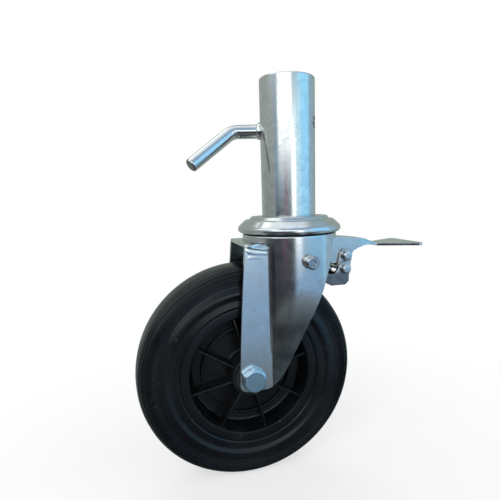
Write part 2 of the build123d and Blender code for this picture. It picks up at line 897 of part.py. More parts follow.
def pedal_plan(inset):
    """Plan of the pedal, parallel cheeks, a neck and the fishtail paddle, moved in by an inset."""
    wide = paddle_half_width
    neck = pedal_neck_half_width
    neck_end = pedal_tip_x - paddle_length
    neck_start = neck_end - pedal_neck_length
    half = [
        (pedal_pivot_x - pedal_lobe_radius - 1, -pedal_half_width),
        (neck_start - pedal_taper_length, -pedal_half_width),
        (neck_start, -neck),
        (neck_end, -neck),
        (pedal_tip_x - paddle_corner, -wide),
        (pedal_tip_x, paddle_corner_set_back - wide),
    ]
    mirrored = [(x, -y) for x, y in reversed(half)]
    plan = make_face(Polyline(*half, *mirrored, close=True))
    rounds = ((pedal_tip_x - paddle_corner, wide, paddle_corner), ((neck_start + neck_end) / 2, neck, pedal_neck_round))
    for x, y, radius in rounds:
        for corner_y in (-y, y):
            corner = plan.vertices().sort_by_distance((x, corner_y, 0))[0]
            plan = fillet(corner, radius)
    if inset > 0:
        plan = offset(plan, -inset, kind=Kind.INTERSECTION)
    return extrude(Plane.XY.offset(-pedal_depth) * plan, amount=pedal_depth)


pedal_depth = upper_rivet_depth * 2


def brake_pedal():
    """Pressed pedal: a web on top, cheeks at the sides and a turned-down rim, open below."""
    wide = paddle_half_width
    block = side_plate(pedal_side(), -wide, wide) & pedal_plan(0)
    behind = pedal_pivot_x - pedal_lobe_radius * 2
    roof = [(x, z - brake_sheet) for x, z in pedal_top()]
    roof = [(behind, roof[0][1])] + roof
    under = [(pedal_tip_x, -pedal_depth), (behind, -pedal_depth)]
    below_roof = side_plate(make_face(Polyline(*roof, *under, close=True)), -wide, wide)
    pedal = block - (below_roof & pedal_plan(brake_sheet))
    open_back = Pos(behind, 0, -pedal_depth) * Box(
        pedal_pivot_x + pedal_open_back - behind,
        pedal_cheek_inner * 2,
        pedal_depth,
        align=(Align.MIN, Align.CENTER, Align.MIN),
    )
    pedal = pedal - open_back
    pedal = pedal - pin(pedal_pivot, pedal_pivot_diameter / 2 + running_clearance, -through, through)
    return pedal - pin(upper_rivet_place, rivet_diameter / 2 + press_clearance, -through, through)


def upper_rivet():
    """Rivet through the pedal's cheeks and both links."""
    level = link_outer + press_clearance
    shank = pin(upper_rivet_place, rivet_diameter / 2, -level, level)
    return shank + head_on_y(upper_rivet_place, level, rivet_head_diameter / 2, rivet_head_height, rivet_head_round)


def lower_rivet():
    """Rivet through the lever's ears and both links."""
    shank = pin(lower_rivet_place, rivet_diameter / 2, -lever_outer, lever_outer)
    return shank + head_on_y(
        lower_rivet_place, lever_outer, rivet_head_diameter / 2, rivet_head_height, rivet_head_round
    )


def brake_links():
    """Two link plates between the pedal and the lever, as separate solids."""
    upper_x, upper_z = upper_rivet_place
    lower_x, lower_z = lower_rivet_place
    outline = belt((upper_x, upper_z, link_half_width), (lower_x, lower_z, link_half_width))
    far = side_plate(outline, link_inner, link_outer)
    far = far - pin(upper_rivet_place, rivet_diameter / 2 + link_play, 0, link_outer + 1)
    far = far - pin(lower_rivet_place, rivet_diameter / 2 + running_clearance, 0, link_outer + 1)
    return Compound(children=[mirror(far, about=Plane.XZ), far])


def shoe_centre():
    """Wheel centre as the lever sees it at rest, so that its shoe fits the tyre when braked."""
    turn = radians(lever_brake_turn)
    x = axle_x - cross_pin_x
    z = axle_z + cross_pin_depth
    return (
        cross_pin_x + x * cos(turn) - z * sin(turn),
        -cross_pin_depth + x * sin(turn) + z * cos(turn),
    )


def brake_lever():
    """Pressed lever: two cheeks joined by a web whose underside is the brake shoe."""
    pin_x, pin_z = cross_pin_place
    ear_x, ear_z = lower_rivet_place
    foot = ear_z - lever_foot_drop
    front = ear_x + lever_ear_radius - lever_front_inset
    corner = lever_foot_corner
    notch = (ear_x - lever_notch[0], ear_z - lever_notch[1])
    profile = belt(
        (pin_x, pin_z, lever_lobe_radius),
        (pin_x + lever_heel_reach, foot, 0),
        (front - corner * 2, foot + corner, corner),
        (front - corner, foot + corner * 2, corner),
        (front, ear_z - lever_notch[1], 0),
        (ear_x, ear_z, lever_ear_radius),
        (*notch, 0),
        (pin_x + lever_neck[0], pin_z - lever_neck[1], 0),
    )
    notch_corner = profile.vertices().sort_by_distance((*notch, 0))[0]
    profile = fillet(notch_corner, lever_notch_radius)
    tyre_room = Pos(*shoe_centre()) * Circle(wheel_radius + shoe_gap)
    profile = profile - tyre_room
    foot_web = (Pos(*shoe_centre()) * Circle(wheel_radius + shoe_gap + brake_sheet)) + Pos(ear_x, foot) * Rectangle(
        through, brake_sheet * 2
    )
    front_web = Pos(front + through / 2 - brake_sheet, foot) * Rectangle(through, lever_foot_drop)
    web = (profile & (foot_web + front_web)) - Pos(pin_x, pin_z) * Circle(lever_lobe_radius + brake_sheet)
    cheek = side_plate(profile, lever_inner, lever_outer)
    lever = both_sides(cheek) + side_plate(web, -lever_outer, lever_outer)
    lever = lever - pin(cross_pin_place, cross_pin_diameter / 2 + running_clearance, -through, through)
    return lever - pin(lower_rivet_place, rivet_diameter / 2 + press_clearance, -through, through)


pieces = {
    "stem_tube": stem_tube(),
    "locking_rod": locking_rod(),
    "head_cover": head_cover(),
    "race_plate": race_plate(),
    "king_pin": king_pin(),
    "lower_race": lower_race(),
    "upper_balls": ball_ring(ball_circle, upper_ball_diameter, upper_ball_count, upper_ball_level),
    "lower_balls": ball_ring(lower_ball_circle, lower_ball_diameter, lower_ball_count, lower_ball_level),
    "fork": fork(),
    "swivel_seal": swivel_seal(),
    "pedal_bracket": pedal_bracket(),
    "pedal_pivot_pin": pedal_pivot_pin(),
    "cross_pin": cross_pin(),
    "cross_pin_collar": cross_pin_collar(),
    "pivot_spacers": pivot_spacers(),
    "axle_bolt": axle_bolt(),
    "axle_nut": axle_nut(),
    "axle_washer": axle_washer(),
    "axle_sleeve": axle_sleeve(),
    "hub_washers": hub_washers(),
    "wheel_rim": wheel_rim(),
    "tyre": tyre(),
    "roller_cage": roller_cage(),
    "bearing_rollers": bearing_rollers(),
    "brake_pedal": brake_pedal(),
    "pedal_spring": pedal_spring(),
    "upper_rivet": upper_rivet(),
    "brake_links": brake_links(),
    "brake_lever": brake_lever(),
    "lower_rivet": lower_rivet(),
}

os.makedirs("parts", exist_ok=True)
for name, shape in pieces.items():
    export_step(shape, f"parts/{name}.step")
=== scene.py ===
import logging
import math
from dataclasses import dataclass, field
from enum import Enum
from typing import Iterable, Sequence

import bmesh
import bpy
from bmesh.types import BMesh, BMVert
from bpy.types import ID, Material, Mesh, MeshPolygon, Node, NodeOutputs, NodeSocket, NodeTree, Object
from mathutils import Matrix, Vector


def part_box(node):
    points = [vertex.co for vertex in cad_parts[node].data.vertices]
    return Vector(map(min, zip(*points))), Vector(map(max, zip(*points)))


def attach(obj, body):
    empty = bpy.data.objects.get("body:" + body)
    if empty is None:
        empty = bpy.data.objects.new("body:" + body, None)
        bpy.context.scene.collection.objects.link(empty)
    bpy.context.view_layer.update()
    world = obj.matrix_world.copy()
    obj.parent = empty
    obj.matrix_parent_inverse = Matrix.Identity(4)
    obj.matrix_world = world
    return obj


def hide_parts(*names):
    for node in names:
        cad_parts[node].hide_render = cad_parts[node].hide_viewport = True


# Looks of the scaffold castor. Sizes are in millimetres times MM, so that the scene is in metres.
# The wheel's parts turn about the axle, which runs along Y.

MM = 0.001
LOG = logging.getLogger("scaffold_castor")
Colour = tuple[float, float, float]
Place = tuple[float, float, float]
Stop = tuple[float, float, float]  # radius from the axle, y and rounding of an outline's corner
Outline = list[tuple[float, float]]

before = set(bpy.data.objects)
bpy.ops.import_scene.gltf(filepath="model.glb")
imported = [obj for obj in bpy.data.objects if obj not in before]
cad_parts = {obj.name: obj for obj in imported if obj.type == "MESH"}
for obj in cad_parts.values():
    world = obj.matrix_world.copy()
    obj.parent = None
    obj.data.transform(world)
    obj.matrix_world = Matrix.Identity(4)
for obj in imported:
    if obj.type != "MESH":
        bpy.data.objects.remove(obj)  # the file's empties: bodies, nodes, joints and record


class Grain(Enum):
    """Way in which a rolled or sheared grain runs, as the scale of its pattern along X, Y and Z."""

    ALONG_X = (0.05, 1.0, 1.0)
    ALONG_Z = (1.0, 1.0, 0.15)


@dataclass(frozen=True)
class Graph:
    """Adds nodes to one tree and links them."""

    tree: NodeTree

    def add(self, kind: str, inputs: dict | None = None, **settings: object) -> Node:
        """Add one node.

        Args:
            kind: Node type as Blender names it.
            inputs: Value or linked output for each input, by name or number.
            settings: Plain settings of the node.

        Returns:
            The new node.
        """
        node = self.tree.nodes.new(kind)
        for name, value in settings.items():
            setattr(node, name, value)
        for name, value in (inputs or {}).items():
            if isinstance(value, NodeSocket):
                self.tree.links.new(value, node.inputs[name])
            else:
                node.inputs[name].default_value = value
        return node

    def math(self, operation: str, first: object, second: object = 0.0, clamp: bool = False) -> NodeSocket:
        """Add a math node and return its value.

        Args:
            operation: Blender's name of the operation.
            first: First value or output.
            second: Second value or output.
            clamp: True to keep the result between 0 and 1.

        Returns:
            The output with the result.
        """
        node = self.add("ShaderNodeMath", {0: first, 1: second}, operation=operation, use_clamp=clamp)
        return node.outputs[0]

    def noise(self, place: object, scale: object, detail: float = 2.0, **more: float) -> NodeSocket:
        """Add a noise texture.

        Args:
            place: Coordinates that it reads.
            scale: Its scale, as a value or an output.
            detail: Number of finer layers.
            more: Further values of the texture.

        Returns:
            The noise's output.
        """
        values = {"Vector": place, "Scale": scale, "Detail": detail, **more}
        return self.add("ShaderNodeTexNoise", values).outputs[0]

    def squeeze(self, place: object, scale: Place, **more: Place) -> NodeSocket:
        """Scale coordinates, so that a pattern gets long along the axes with a small scale.

        Args:
            place: Coordinates.
            scale: Scale along X, Y and Z.
            more: Further values of the mapping.

        Returns:
            The new coordinates.
        """
        return self.add("ShaderNodeMapping", {"Vector": place, "Scale": scale, **more}).outputs[0]

    def seen_plainly(self) -> NodeSocket:
        """Give 1 for the rays of the camera, of mirrors and of glass, and 0 for the rest.

        Returns:
            The output with the mask.
        """
        rays = self.add("ShaderNodeLightPath").outputs
        direct = self.math("MAXIMUM", rays["Is Camera Ray"], rays["Is Glossy Ray"])
        return self.math("MAXIMUM", direct, rays["Is Transmission Ray"])

    def remap(
        self, value: object, low: float, high: float, out_low: float = 0.0, out_high: float = 1.0
    ) -> NodeSocket:
        """Map a value from one range to another, smoothly and clamped.

        Args:
            value: Value or output to map.
            low: Start of the range that is read.
            high: End of the range that is read.
            out_low: Result at the start.
            out_high: Result at the end.

        Returns:
            The output with the mapped value.
        """
        ends = {"Value": value, "From Min": low, "From Max": high, "To Min": out_low, "To Max": out_high}
        return self.add("ShaderNodeMapRange", ends, interpolation_type="SMOOTHSTEP").outputs["Result"]

    def blend(self, mask: object, first: object, second: object) -> NodeSocket:
        """Mix two colours.

        Args:
            mask: 0 for the first colour and 1 for the second.
            first: Colour or output.
            second: Colour or output.

        Returns:
            The mixed colour's output.
        """
        node = self.add("ShaderNodeMix", data_type="RGBA")
        for index, value in ((0, mask), (6, first), (7, second)):
            if isinstance(value, NodeSocket):
                self.tree.links.new(value, node.inputs[index])
            else:
                node.inputs[index].default_value = value if index == 0 else (*value, 1.0)
        return node.outputs[2]

    def give(self, **outputs: NodeSocket) -> NodeTree:
        """Add the output node of a group and link what the group puts out.

        Args:
            outputs: Output for each of its named sockets.

        Returns:
            The finished tree.
        """
        self.add("NodeGroupOutput", outputs)
        return self.tree


@dataclass(frozen=True)
class EffectGroup:
    """A shader node group with named inputs and outputs, built once."""

    name: str
    inputs: dict[str, float]
    outputs: tuple[str, ...]

    def start(self) -> tuple[Graph, NodeOutputs]:
        """Make the group with its sockets.

        Returns:
            Its graph, and the inputs that it is given.
        """
        tree = bpy.data.node_groups.new(self.name, "ShaderNodeTree")
        tree.interface.new_socket(name="Vector", in_out="INPUT", socket_type="NodeSocketVector")
        for name, value in self.inputs.items():
            socket = tree.interface.new_socket(name=name, in_out="INPUT", socket_type="NodeSocketFloat")
            socket.default_value = value
        for name in self.outputs:
            tree.interface.new_socket(name=name, in_out="OUTPUT", socket_type="NodeSocketFloat")
        graph = Graph(tree)
        return graph, graph.add("NodeGroupInput").outputs


def cloudy_tone_group() -> NodeTree:
    """Build the patchy tone of plated steel: large clouds with smaller ones in them.

    Returns:
        The group.
    """
    graph, given = EffectGroup("cloudy_tone", {"Scale": 40.0, "Contrast": 1.0}, ("Mask",)).start()
    large = graph.noise(given["Vector"], given["Scale"], 5.0, Roughness=0.62, Distortion=0.6)
    small = graph.noise(given["Vector"], graph.math("MULTIPLY", given["Scale"], 5.3), 3.0, Roughness=0.7)
    both = graph.math("ADD", graph.math("MULTIPLY", large, 0.66), graph.math("MULTIPLY", small, 0.34))
    steep = graph.math("MULTIPLY", given["Contrast"], 3.2)
    centred = graph.math("MULTIPLY", graph.math("SUBTRACT", both, 0.5), steep)
    return graph.give(Mask=graph.math("ADD", centred, 0.5, clamp=True))


def speckle_group() -> NodeTree:
    """Build the fine spangle of plating and the specks of dust: small cells, each with its own tone.

    Returns:
        The group.
    """
    graph, given = EffectGroup("speckle", {"Scale": 900.0, "Share": 0.3}, ("Tone", "Spots")).start()
    cells = graph.add("ShaderNodeTexVoronoi", {"Vector": given["Vector"], "Scale": given["Scale"]}).outputs
    tone = graph.add("ShaderNodeSeparateColor", {"Color": cells["Color"]}).outputs[0]
    chosen = graph.math("GREATER_THAN", tone, graph.math("SUBTRACT", 1.0, given["Share"]))
    spots = graph.math("MULTIPLY", chosen, graph.remap(cells["Distance"], 0.5, 0.15))
    return graph.give(Tone=tone, Spots=spots)


def scratches_group() -> NodeTree:
    """Build fine scratches: thin bright lines of a stretched noise, broken up by a larger one.

    Returns:
        The group.
    """
    graph, given = EffectGroup("scratches", {"Scale": 60.0, "Amount": 0.3}, ("Mask",)).start()
    lines = 0.0
    thin = 14.0
    for turn, scale in ((0.5, (1.0, thin, 1.0)), (-0.7, (thin, 1.0, 1.0)), (1.3, (1.0, 1.0, thin))):
        turned = graph.squeeze(given["Vector"], scale, Rotation=(turn, turn * 0.6, turn * 0.3))
        away = graph.math("SUBTRACT", graph.noise(turned, given["Scale"]), 0.5)
        lines = graph.math("MAXIMUM", lines, graph.remap(graph.math("ABSOLUTE", away), 0.012, 0.002))
    patches = graph.remap(graph.noise(given["Vector"], 55.0, 1.0), 0.5, 0.62)
    shown = graph.math("MULTIPLY", lines, patches)
    return graph.give(Mask=graph.math("MULTIPLY", shown, given["Amount"]))


def crevice_mask_group() -> NodeTree:
    """Build a mask of corners and joints from ambient occlusion, ragged at its edge. Plated steel darkens
    there as painted shade with some grime; moulded pieces take dust there.

    Returns:
        The group.
    """
    graph, given = EffectGroup("crevice_dirt", {"Reach": 0.006, "Amount": 0.6}, ("Mask",)).start()
    reach = {"Distance": given["Reach"]}
    open_sky = graph.add("ShaderNodeAmbientOcclusion", reach, samples=6, only_local=False).outputs["AO"]
    ragged = graph.math("SUBTRACT", graph.noise(given["Vector"], 260.0, 3.0), 0.5)
    shut = graph.math("SUBTRACT", 1.0, open_sky)
    mask = graph.remap(graph.math("ADD", shut, graph.math("MULTIPLY", ragged, 0.35)), 0.25, 0.85)
    return graph.give(Mask=graph.math("MULTIPLY", mask, given["Amount"]))


def moulded_grain_group() -> NodeTree:
    """Build the fine skin of moulded plastic and rubber: a pebbled height and a slow change of gloss.

    Returns:
        The group.
    """
    graph, given = EffectGroup("moulded_grain", {"Scale": 900.0}, ("Height", "Gloss")).start()
    fine = graph.noise(given["Vector"], given["Scale"], 3.0, Roughness=0.6)
    return graph.give(Height=fine, Gloss=graph.noise(given["Vector"], 24.0, 4.0))


MAKERS = (cloudy_tone_group, speckle_group, scratches_group, crevice_mask_group, moulded_grain_group)
EFFECTS: dict[str, NodeTree] = {tree.name: tree for tree in (maker() for maker in MAKERS)}


@dataclass(frozen=True)
class Finish:
    """What every finish has: a name, and a material that starts from one shader."""

    name: str

    def start(self, **plain: object) -> tuple[Material, Graph, Node, NodeSocket]:
        """Make the material with its shader and the coordinates that its patterns read.

        Args:
            plain: Values for the shader's own sockets, with spaces in their names written as _.

        Returns:
            The material, its graph, its shader and the object coordinates.
        """
        material = bpy.data.materials.new(self.name)
        material.use_nodes = True
        graph = Graph(material.node_tree)
        shader = material.node_tree.nodes["Principled BSDF"]
        for name, value in plain.items():
            shader.inputs[name.replace("_", " ")].default_value = value
        place = graph.add("ShaderNodeTexCoord").outputs["Object"]
        return material, graph, shader, place

    @staticmethod
    def effect(
        graph: Graph, name: str, output: str, place: NodeSocket, **inputs: float
    ) -> NodeSocket:
        """Place one of the shared effects in a material.

        Args:
            graph: Graph of the material.
            name: Name of the effect's group.
            output: Name of the output that is wanted.
            place: Coordinates that it reads.
            inputs: Its named values.

        Returns:
            That output.
        """
        values = {"Vector": place, **inputs}
        return graph.add("ShaderNodeGroup", values, node_tree=EFFECTS[name]).outputs[output]

    @staticmethod
    def skin(graph: Graph, height: object, strength: float, depth: float, edge: float) -> NodeSocket:
        """Add the fine relief of a surface, over edges that look rounded.

        Args:
            graph: Graph of the material.
            height: Output with the relief.
            strength: A tenth of the relief's strength.
            depth: Depth of the relief.
            edge: Radius of the edges in millimetres.

        Returns:
            The normal's output.
        """
        bevel = graph.add("ShaderNodeBevel", {"Radius": edge * MM}, samples=4).outputs[0]
        values = {"Height": height, "Strength": strength * 10, "Distance": depth, "Normal": bevel}
        return graph.add("ShaderNodeBump", values).outputs[0]

    @staticmethod
    def join(graph: Graph, shader: Node, **outputs: NodeSocket) -> None:
        """Link outputs to the shader's own sockets.

        Args:
            graph: Graph of the material.
            shader: The shader.
            outputs: Output for each socket, with spaces in the names written as _.
        """
        for name, value in outputs.items():
            graph.tree.links.new(value, shader.inputs[name.replace("_", " ")])


@dataclass(frozen=True)
class PlatedSteel(Finish):
    """Zinc plated steel with clouds, fine spangle, scratches, painted shade with some grime in its corners,
    and rounded edges.
    """

    light: Colour
    dark: Colour
    roughness: tuple[float, float] = (0.24, 0.42)
    clouds: float = 46.0
    contrast: float = 1.0
    grain_height: float = 0.004
    scratches: float = 0.35
    # How strongly corners and joints darken: painted shade with some grime.
    crevice_amount: float = 0.55
    edge: float = 0.4
    # Colour of the marks: painted shade on the fork and the lever, bare steel at the rod's cut end.
    mark_and_shade_colour: Colour = (0.12, 0.13, 0.14)
    # Colour that corners and joints darken to: painted shade with some grime.
    grime_and_shade_colour: Colour = (0.05, 0.045, 0.04)
    crevice_reach: float = 5 * MM
    crevice_dullness: float = 0.35
    spangle_scale: float = 1500.0
    spangle_share: float = 0.22
    scratch_scale: float = 70.0
    scratch_gain: float = 1.25
    skin_depth: float = 0.1 * MM

    def marks(self, graph: Graph, place: NodeSocket) -> tuple[object, object]:
        """Give the marks and painted shade that only some pieces have.

        Args:
            graph: Graph of the material.
            place: Object coordinates.

        Returns:
            How far the colour of the marks and painted shade covers the plating, and a height on top of the
            grain.
        """
        return 0.0, 0.0

    def material(self) -> Material:
        """Build the material.

        Returns:
            The finished material.
        """
        material, graph, shader, place = self.start(Metallic=1.0)
        clouds = self.effect(graph, "cloudy_tone", "Mask", place, Scale=self.clouds, Contrast=self.contrast)
        spangle = self.effect(graph, "speckle", "Tone", place, Scale=self.spangle_scale)
        lines = {"Scale": self.scratch_scale, "Amount": self.scratches}
        scratch = self.effect(graph, "scratches", "Mask", place, **lines)
        crevice_amount = self.effect(graph, "crevice_dirt", "Mask", place, Reach=self.crevice_reach, Amount=self.crevice_amount)
        large = graph.math("MULTIPLY", clouds, 1 - self.spangle_share)
        tone = graph.math("ADD", large, graph.math("MULTIPLY", spangle, self.spangle_share))
        covered, raised = self.marks(graph, place)
        colour = graph.blend(tone, self.dark, self.light)
        bright = tuple(min(1.0, part * self.scratch_gain) for part in self.light)
        colour = graph.blend(scratch, colour, bright)
        # Marks: painted shade on the fork and the lever, bare steel at the rod's cut end.
        colour = graph.blend(covered, colour, self.mark_and_shade_colour)
        # Painted shade with some grime: corners and joints darken by ambient occlusion.
        colour = graph.blend(crevice_amount, colour, self.grime_and_shade_colour)
        gloss = graph.remap(tone, 0.15, 0.85, self.roughness[1], self.roughness[0])
        gloss = graph.math("ADD", gloss, graph.math("MULTIPLY", crevice_amount, self.crevice_dullness), clamp=True)
        height = graph.math("ADD", spangle, graph.math("MULTIPLY", clouds, 0.6))
        height = graph.math("SUBTRACT", height, graph.math("MULTIPLY", scratch, 1.5))
        normal = self.skin(graph, height, self.grain_height, self.skin_depth, self.edge)
        if isinstance(raised, NodeSocket):
            marked = {"Height": raised, "Strength": 1.0, "Distance": MM, "Normal": normal}
            normal = graph.add("ShaderNodeBump", marked).outputs[0]
        self.join(graph, shader, Base_Color=colour, Roughness=gloss, Normal=normal)
        return material


@dataclass(frozen=True)
class Moulded(Finish):
    """Moulded black plastic or rubber with a fine skin, duller patches and dust in its corners."""

    colour: Colour
    worn: Colour
    dust: Colour = (0.16, 0.15, 0.14)
    roughness: tuple[float, float] = (0.38, 0.55)
    specular: float = 0.5
    grain_scale: float = 1100.0
    grain_height: float = 0.06
    crevice_amount: float = 0.25
    edge: float = 0.3
    crevice_reach: float = 7 * MM
    speck_scale: float = 420.0
    speck_share: float = 0.012
    dust_cover: float = 0.25
    dust_dullness: float = 0.3
    skin_depth: float = 0.08 * MM

    def material(self) -> Material:
        """Build the material.

        Returns:
            The finished material.
        """
        material, graph, shader, place = self.start(Specular_IOR_Level=self.specular)
        grain = self.effect(graph, "moulded_grain", "Height", place, Scale=self.grain_scale)
        specks = self.effect(graph, "speckle", "Spots", place, Scale=self.speck_scale, Share=self.speck_share)
        crevice_amount = self.effect(graph, "crevice_dirt", "Mask", place, Reach=self.crevice_reach, Amount=self.crevice_amount)
        slow = graph.remap(grain.node.outputs["Gloss"], 0.35, 0.7)
        colour = graph.blend(slow, self.colour, self.worn)
        dusty = graph.math("ADD", graph.math("MULTIPLY", specks, self.dust_cover), crevice_amount, clamp=True)
        colour = graph.blend(dusty, colour, self.dust)
        dull = graph.math("MULTIPLY", dusty, self.dust_dullness)
        gloss = graph.math("ADD", graph.remap(slow, 0.0, 1.0, *self.roughness), dull, clamp=True)
        normal = self.skin(graph, grain, self.grain_height, self.skin_depth, self.edge)
        self.join(graph, shader, Base_Color=colour, Roughness=gloss, Normal=normal)
        return material


@dataclass(frozen=True)
class ForkPlating(PlatedSteel):
    """Plating of the fork: grained straps, painted shade low on the legs, and a painted shadow line beside
    each strap.
    """

    strap_front: float = -27.5 * MM
    strap_depth: float = 27.0 * MM
    grain_height_mm: float = 0.02
    shade_levels: tuple[float, float] = (-72.0 * MM, -100.0 * MM)
    shadow_line_place: float = -26.2 * MM
    shadow_line_depth: float = 24.5 * MM
    shadow_line_widths: tuple[float, float] = (1.9 * MM, 0.7 * MM)
    shadow_line_levels: tuple[float, float] = (-21.0 * MM, -26.0 * MM)
    shadow_line_share: float = 0.5

    def marks(self, graph: Graph, place: NodeSocket) -> tuple[object, object]:
        """Give the strap's grain, the painted shade low on the legs and the painted shadow line beside the
        strap.

        Args:
            graph: Graph of the material.
            place: Object coordinates.

        Returns:
            Share of the painted shade and shadow line, and the height of the grain in millimetres.
        """
        parts = graph.add("ShaderNodeSeparateXYZ", {0: place}).outputs
        depth = graph.math("ABSOLUTE", parts["Y"])
        behind = graph.remap(parts["X"], self.strap_front + 0.5 * MM, self.strap_front - 0.5 * MM)
        strap = graph.math("MULTIPLY", graph.math("GREATER_THAN", depth, self.strap_depth), behind)
        # Painted shade: the legs darken low down, with a ragged edge.
        low = graph.remap(parts["Z"], *self.shade_levels)
        leg_shade = graph.math("MULTIPLY", graph.math("SUBTRACT", 1.0, behind), low)
        leg_shade = graph.math("MULTIPLY", leg_shade, graph.remap(graph.noise(place, 70.0, 3.0), 0.3, 0.7, 0.55, 0.85))
        grain = graph.noise(graph.squeeze(place, Grain.ALONG_X.value), 1300.0, 3.0)
        # Painted shadow line along the strap's front edge.
        away = graph.math("ABSOLUTE", graph.math("SUBTRACT", parts["X"], self.shadow_line_place))
        shadow_line = graph.remap(away, *self.shadow_line_widths)
        shadow_line = graph.math("MULTIPLY", shadow_line, graph.remap(parts["Z"], *self.shadow_line_levels, 0.0, self.shadow_line_share))
        shadow_line = graph.math("MULTIPLY", shadow_line, graph.math("GREATER_THAN", depth, self.shadow_line_depth))
        height = graph.math("MULTIPLY", graph.math("MULTIPLY", grain, self.grain_height_mm), strap)
        return graph.math("MAXIMUM", leg_shade, shadow_line), height


@dataclass(frozen=True)
class LeverPlating(PlatedSteel):
    """Plating of the brake lever, with painted shade towards its shoe."""

    shade_levels: tuple[float, float] = (-50.5 * MM, -53.5 * MM)

    def marks(self, graph: Graph, place: NodeSocket) -> tuple[object, object]:
        """Give the painted shade towards the shoe.

        Args:
            graph: Graph of the material.
            place: Object coordinates.

        Returns:
            Share of the painted shade, and no height.
        """
        level = graph.add("ShaderNodeSeparateXYZ", {0: place}).outputs["Z"]
        ragged = graph.remap(graph.noise(place, 150.0, 3.0), 0.2, 0.8, 0.7, 0.95)
        return graph.math("MULTIPLY", graph.remap(level, *self.shade_levels), ragged), 0.0


@dataclass(frozen=True)
class RodPlating(PlatedSteel):
    """Plating of the locking rod, whose cut end is bare and brownish."""

    tip: Place = (0.0, 0.0, 0.0)
    heading: Place = (1.0, 0.0, 0.0)
    end_depths: tuple[float, float] = (-0.45 * MM, -0.2 * MM)
    end_cover: float = 0.85
    shear_height_mm: float = 0.25

    def marks(self, graph: Graph, place: NodeSocket) -> tuple[object, object]:
        """Give the cut end and its shear marks.

        Args:
            graph: Graph of the material.
            place: Object coordinates.

        Returns:
            Share of the bare steel's tone, and the height of its shear marks in millimetres.
        """
        offset = graph.add("ShaderNodeVectorMath", {0: place, 1: self.tip}, operation="SUBTRACT").outputs[0]
        along = graph.add("ShaderNodeVectorMath", {0: offset, 1: self.heading}, operation="DOT_PRODUCT")
        face = graph.remap(along.outputs["Value"], *self.end_depths)
        shear = graph.noise(graph.squeeze(place, Grain.ALONG_Z.value), 900.0)
        height = graph.math("MULTIPLY", graph.math("MULTIPLY", shear, face), self.shear_height_mm)
        return graph.math("MULTIPLY", face, self.end_cover), height


TUBE_PLATING = PlatedSteel(
    "tube_plating", (0.82, 0.83, 0.83), (0.58, 0.60, 0.61), (0.13, 0.24),
    clouds=150.0, contrast=1.1, scratches=0.3,
)
PRESSED_PLATING = PlatedSteel(
    "pressed_plating", (0.78, 0.79, 0.80), (0.60, 0.62, 0.64), (0.14, 0.24), clouds=60.0, scratches=0.25
)
# Pedal and links darken strongly in their corners and joints: painted shade between pedal, links and rivets,
# with some grime.
PEDAL_PLATING = PlatedSteel(
    "pedal_plating", (0.78, 0.79, 0.80), (0.58, 0.60, 0.62), (0.14, 0.24),
    clouds=80.0, scratches=0.25, crevice_amount=0.85, edge=0.5,
)
LINK_PLATING = PlatedSteel(
    "link_plating", (0.80, 0.81, 0.82), (0.60, 0.62, 0.64), (0.14, 0.24),
    clouds=80.0, scratches=0.25, crevice_amount=0.85, edge=2.4,
)
# The lever's mark colour is painted shade towards its shoe.
LEVER_PLATING = LeverPlating(
    "lever_plating", (0.78, 0.79, 0.80), (0.58, 0.60, 0.62), (0.16, 0.28),
    clouds=80.0, scratches=0.3, edge=1.6, mark_and_shade_colour=(0.17, 0.14, 0.13),
)
FORK_PLATING = ForkPlating(
    "fork_plating", (0.78, 0.79, 0.80), (0.60, 0.62, 0.64), (0.14, 0.24),
    clouds=60.0, scratches=0.25, edge=0.9,
)
TURNED_PLATING = PlatedSteel(
    "turned_plating", (0.80, 0.80, 0.81), (0.60, 0.61, 0.62), (0.13, 0.22),
    clouds=140.0, contrast=0.9, scratches=0.2, crevice_amount=0.7, edge=0.8,
)
# The bolt's blue tint is painted reflection of the sky-blue surround.
BOLT_PLATING = PlatedSteel(
    "bolt_plating", (0.60, 0.78, 0.92), (0.44, 0.62, 0.76), (0.16, 0.28),
    clouds=140.0, contrast=1.1, scratches=0.3, crevice_amount=0.6, edge=0.5,
)
# A darker copy of the turned plating, darkening fully in its corners: painted shade on the sides of the pin's
# head.
PIN_PLATING = PlatedSteel(
    "pin_plating", (0.66, 0.67, 0.69), (0.34, 0.35, 0.37), (0.12, 0.22),
    clouds=220.0, contrast=1.2, scratches=0.2, crevice_amount=1.0, edge=0.5,
)
# Rivets darken strongly where they meet the plates: painted shade, with some grime.
RIVET_PLATING = PlatedSteel(
    "rivet_plating", (0.80, 0.80, 0.81), (0.58, 0.59, 0.60), (0.14, 0.24),
    clouds=140.0, contrast=0.9, scratches=0.2, crevice_amount=0.9, edge=2.2,
)
BEARING_STEEL = PlatedSteel(
    "bearing_steel", (0.62, 0.62, 0.62), (0.45, 0.45, 0.45), (0.1, 0.18),
    clouds=120.0, contrast=0.4, scratches=0.1,
)
CAGE_STEEL = PlatedSteel(
    "cage_steel", (0.45, 0.44, 0.42), (0.28, 0.27, 0.26), (0.3, 0.45), clouds=90.0, contrast=0.8
)
SPRING_STEEL = PlatedSteel(
    "spring_steel", (0.30, 0.30, 0.31), (0.16, 0.16, 0.17), (0.28, 0.4), clouds=120.0, contrast=0.7
)
BLACK_PLASTIC = Moulded(
    "black_plastic", (0.003, 0.004, 0.005), (0.006, 0.007, 0.008),
    roughness=(0.22, 0.32), specular=0.32, grain_height=0.02, crevice_amount=0.05, edge=0.5,
)
WASHER_PLASTIC = Moulded(
    "washer_plastic", (0.006, 0.006, 0.006), (0.012, 0.012, 0.012), roughness=(0.4, 0.55), crevice_amount=0.1
)
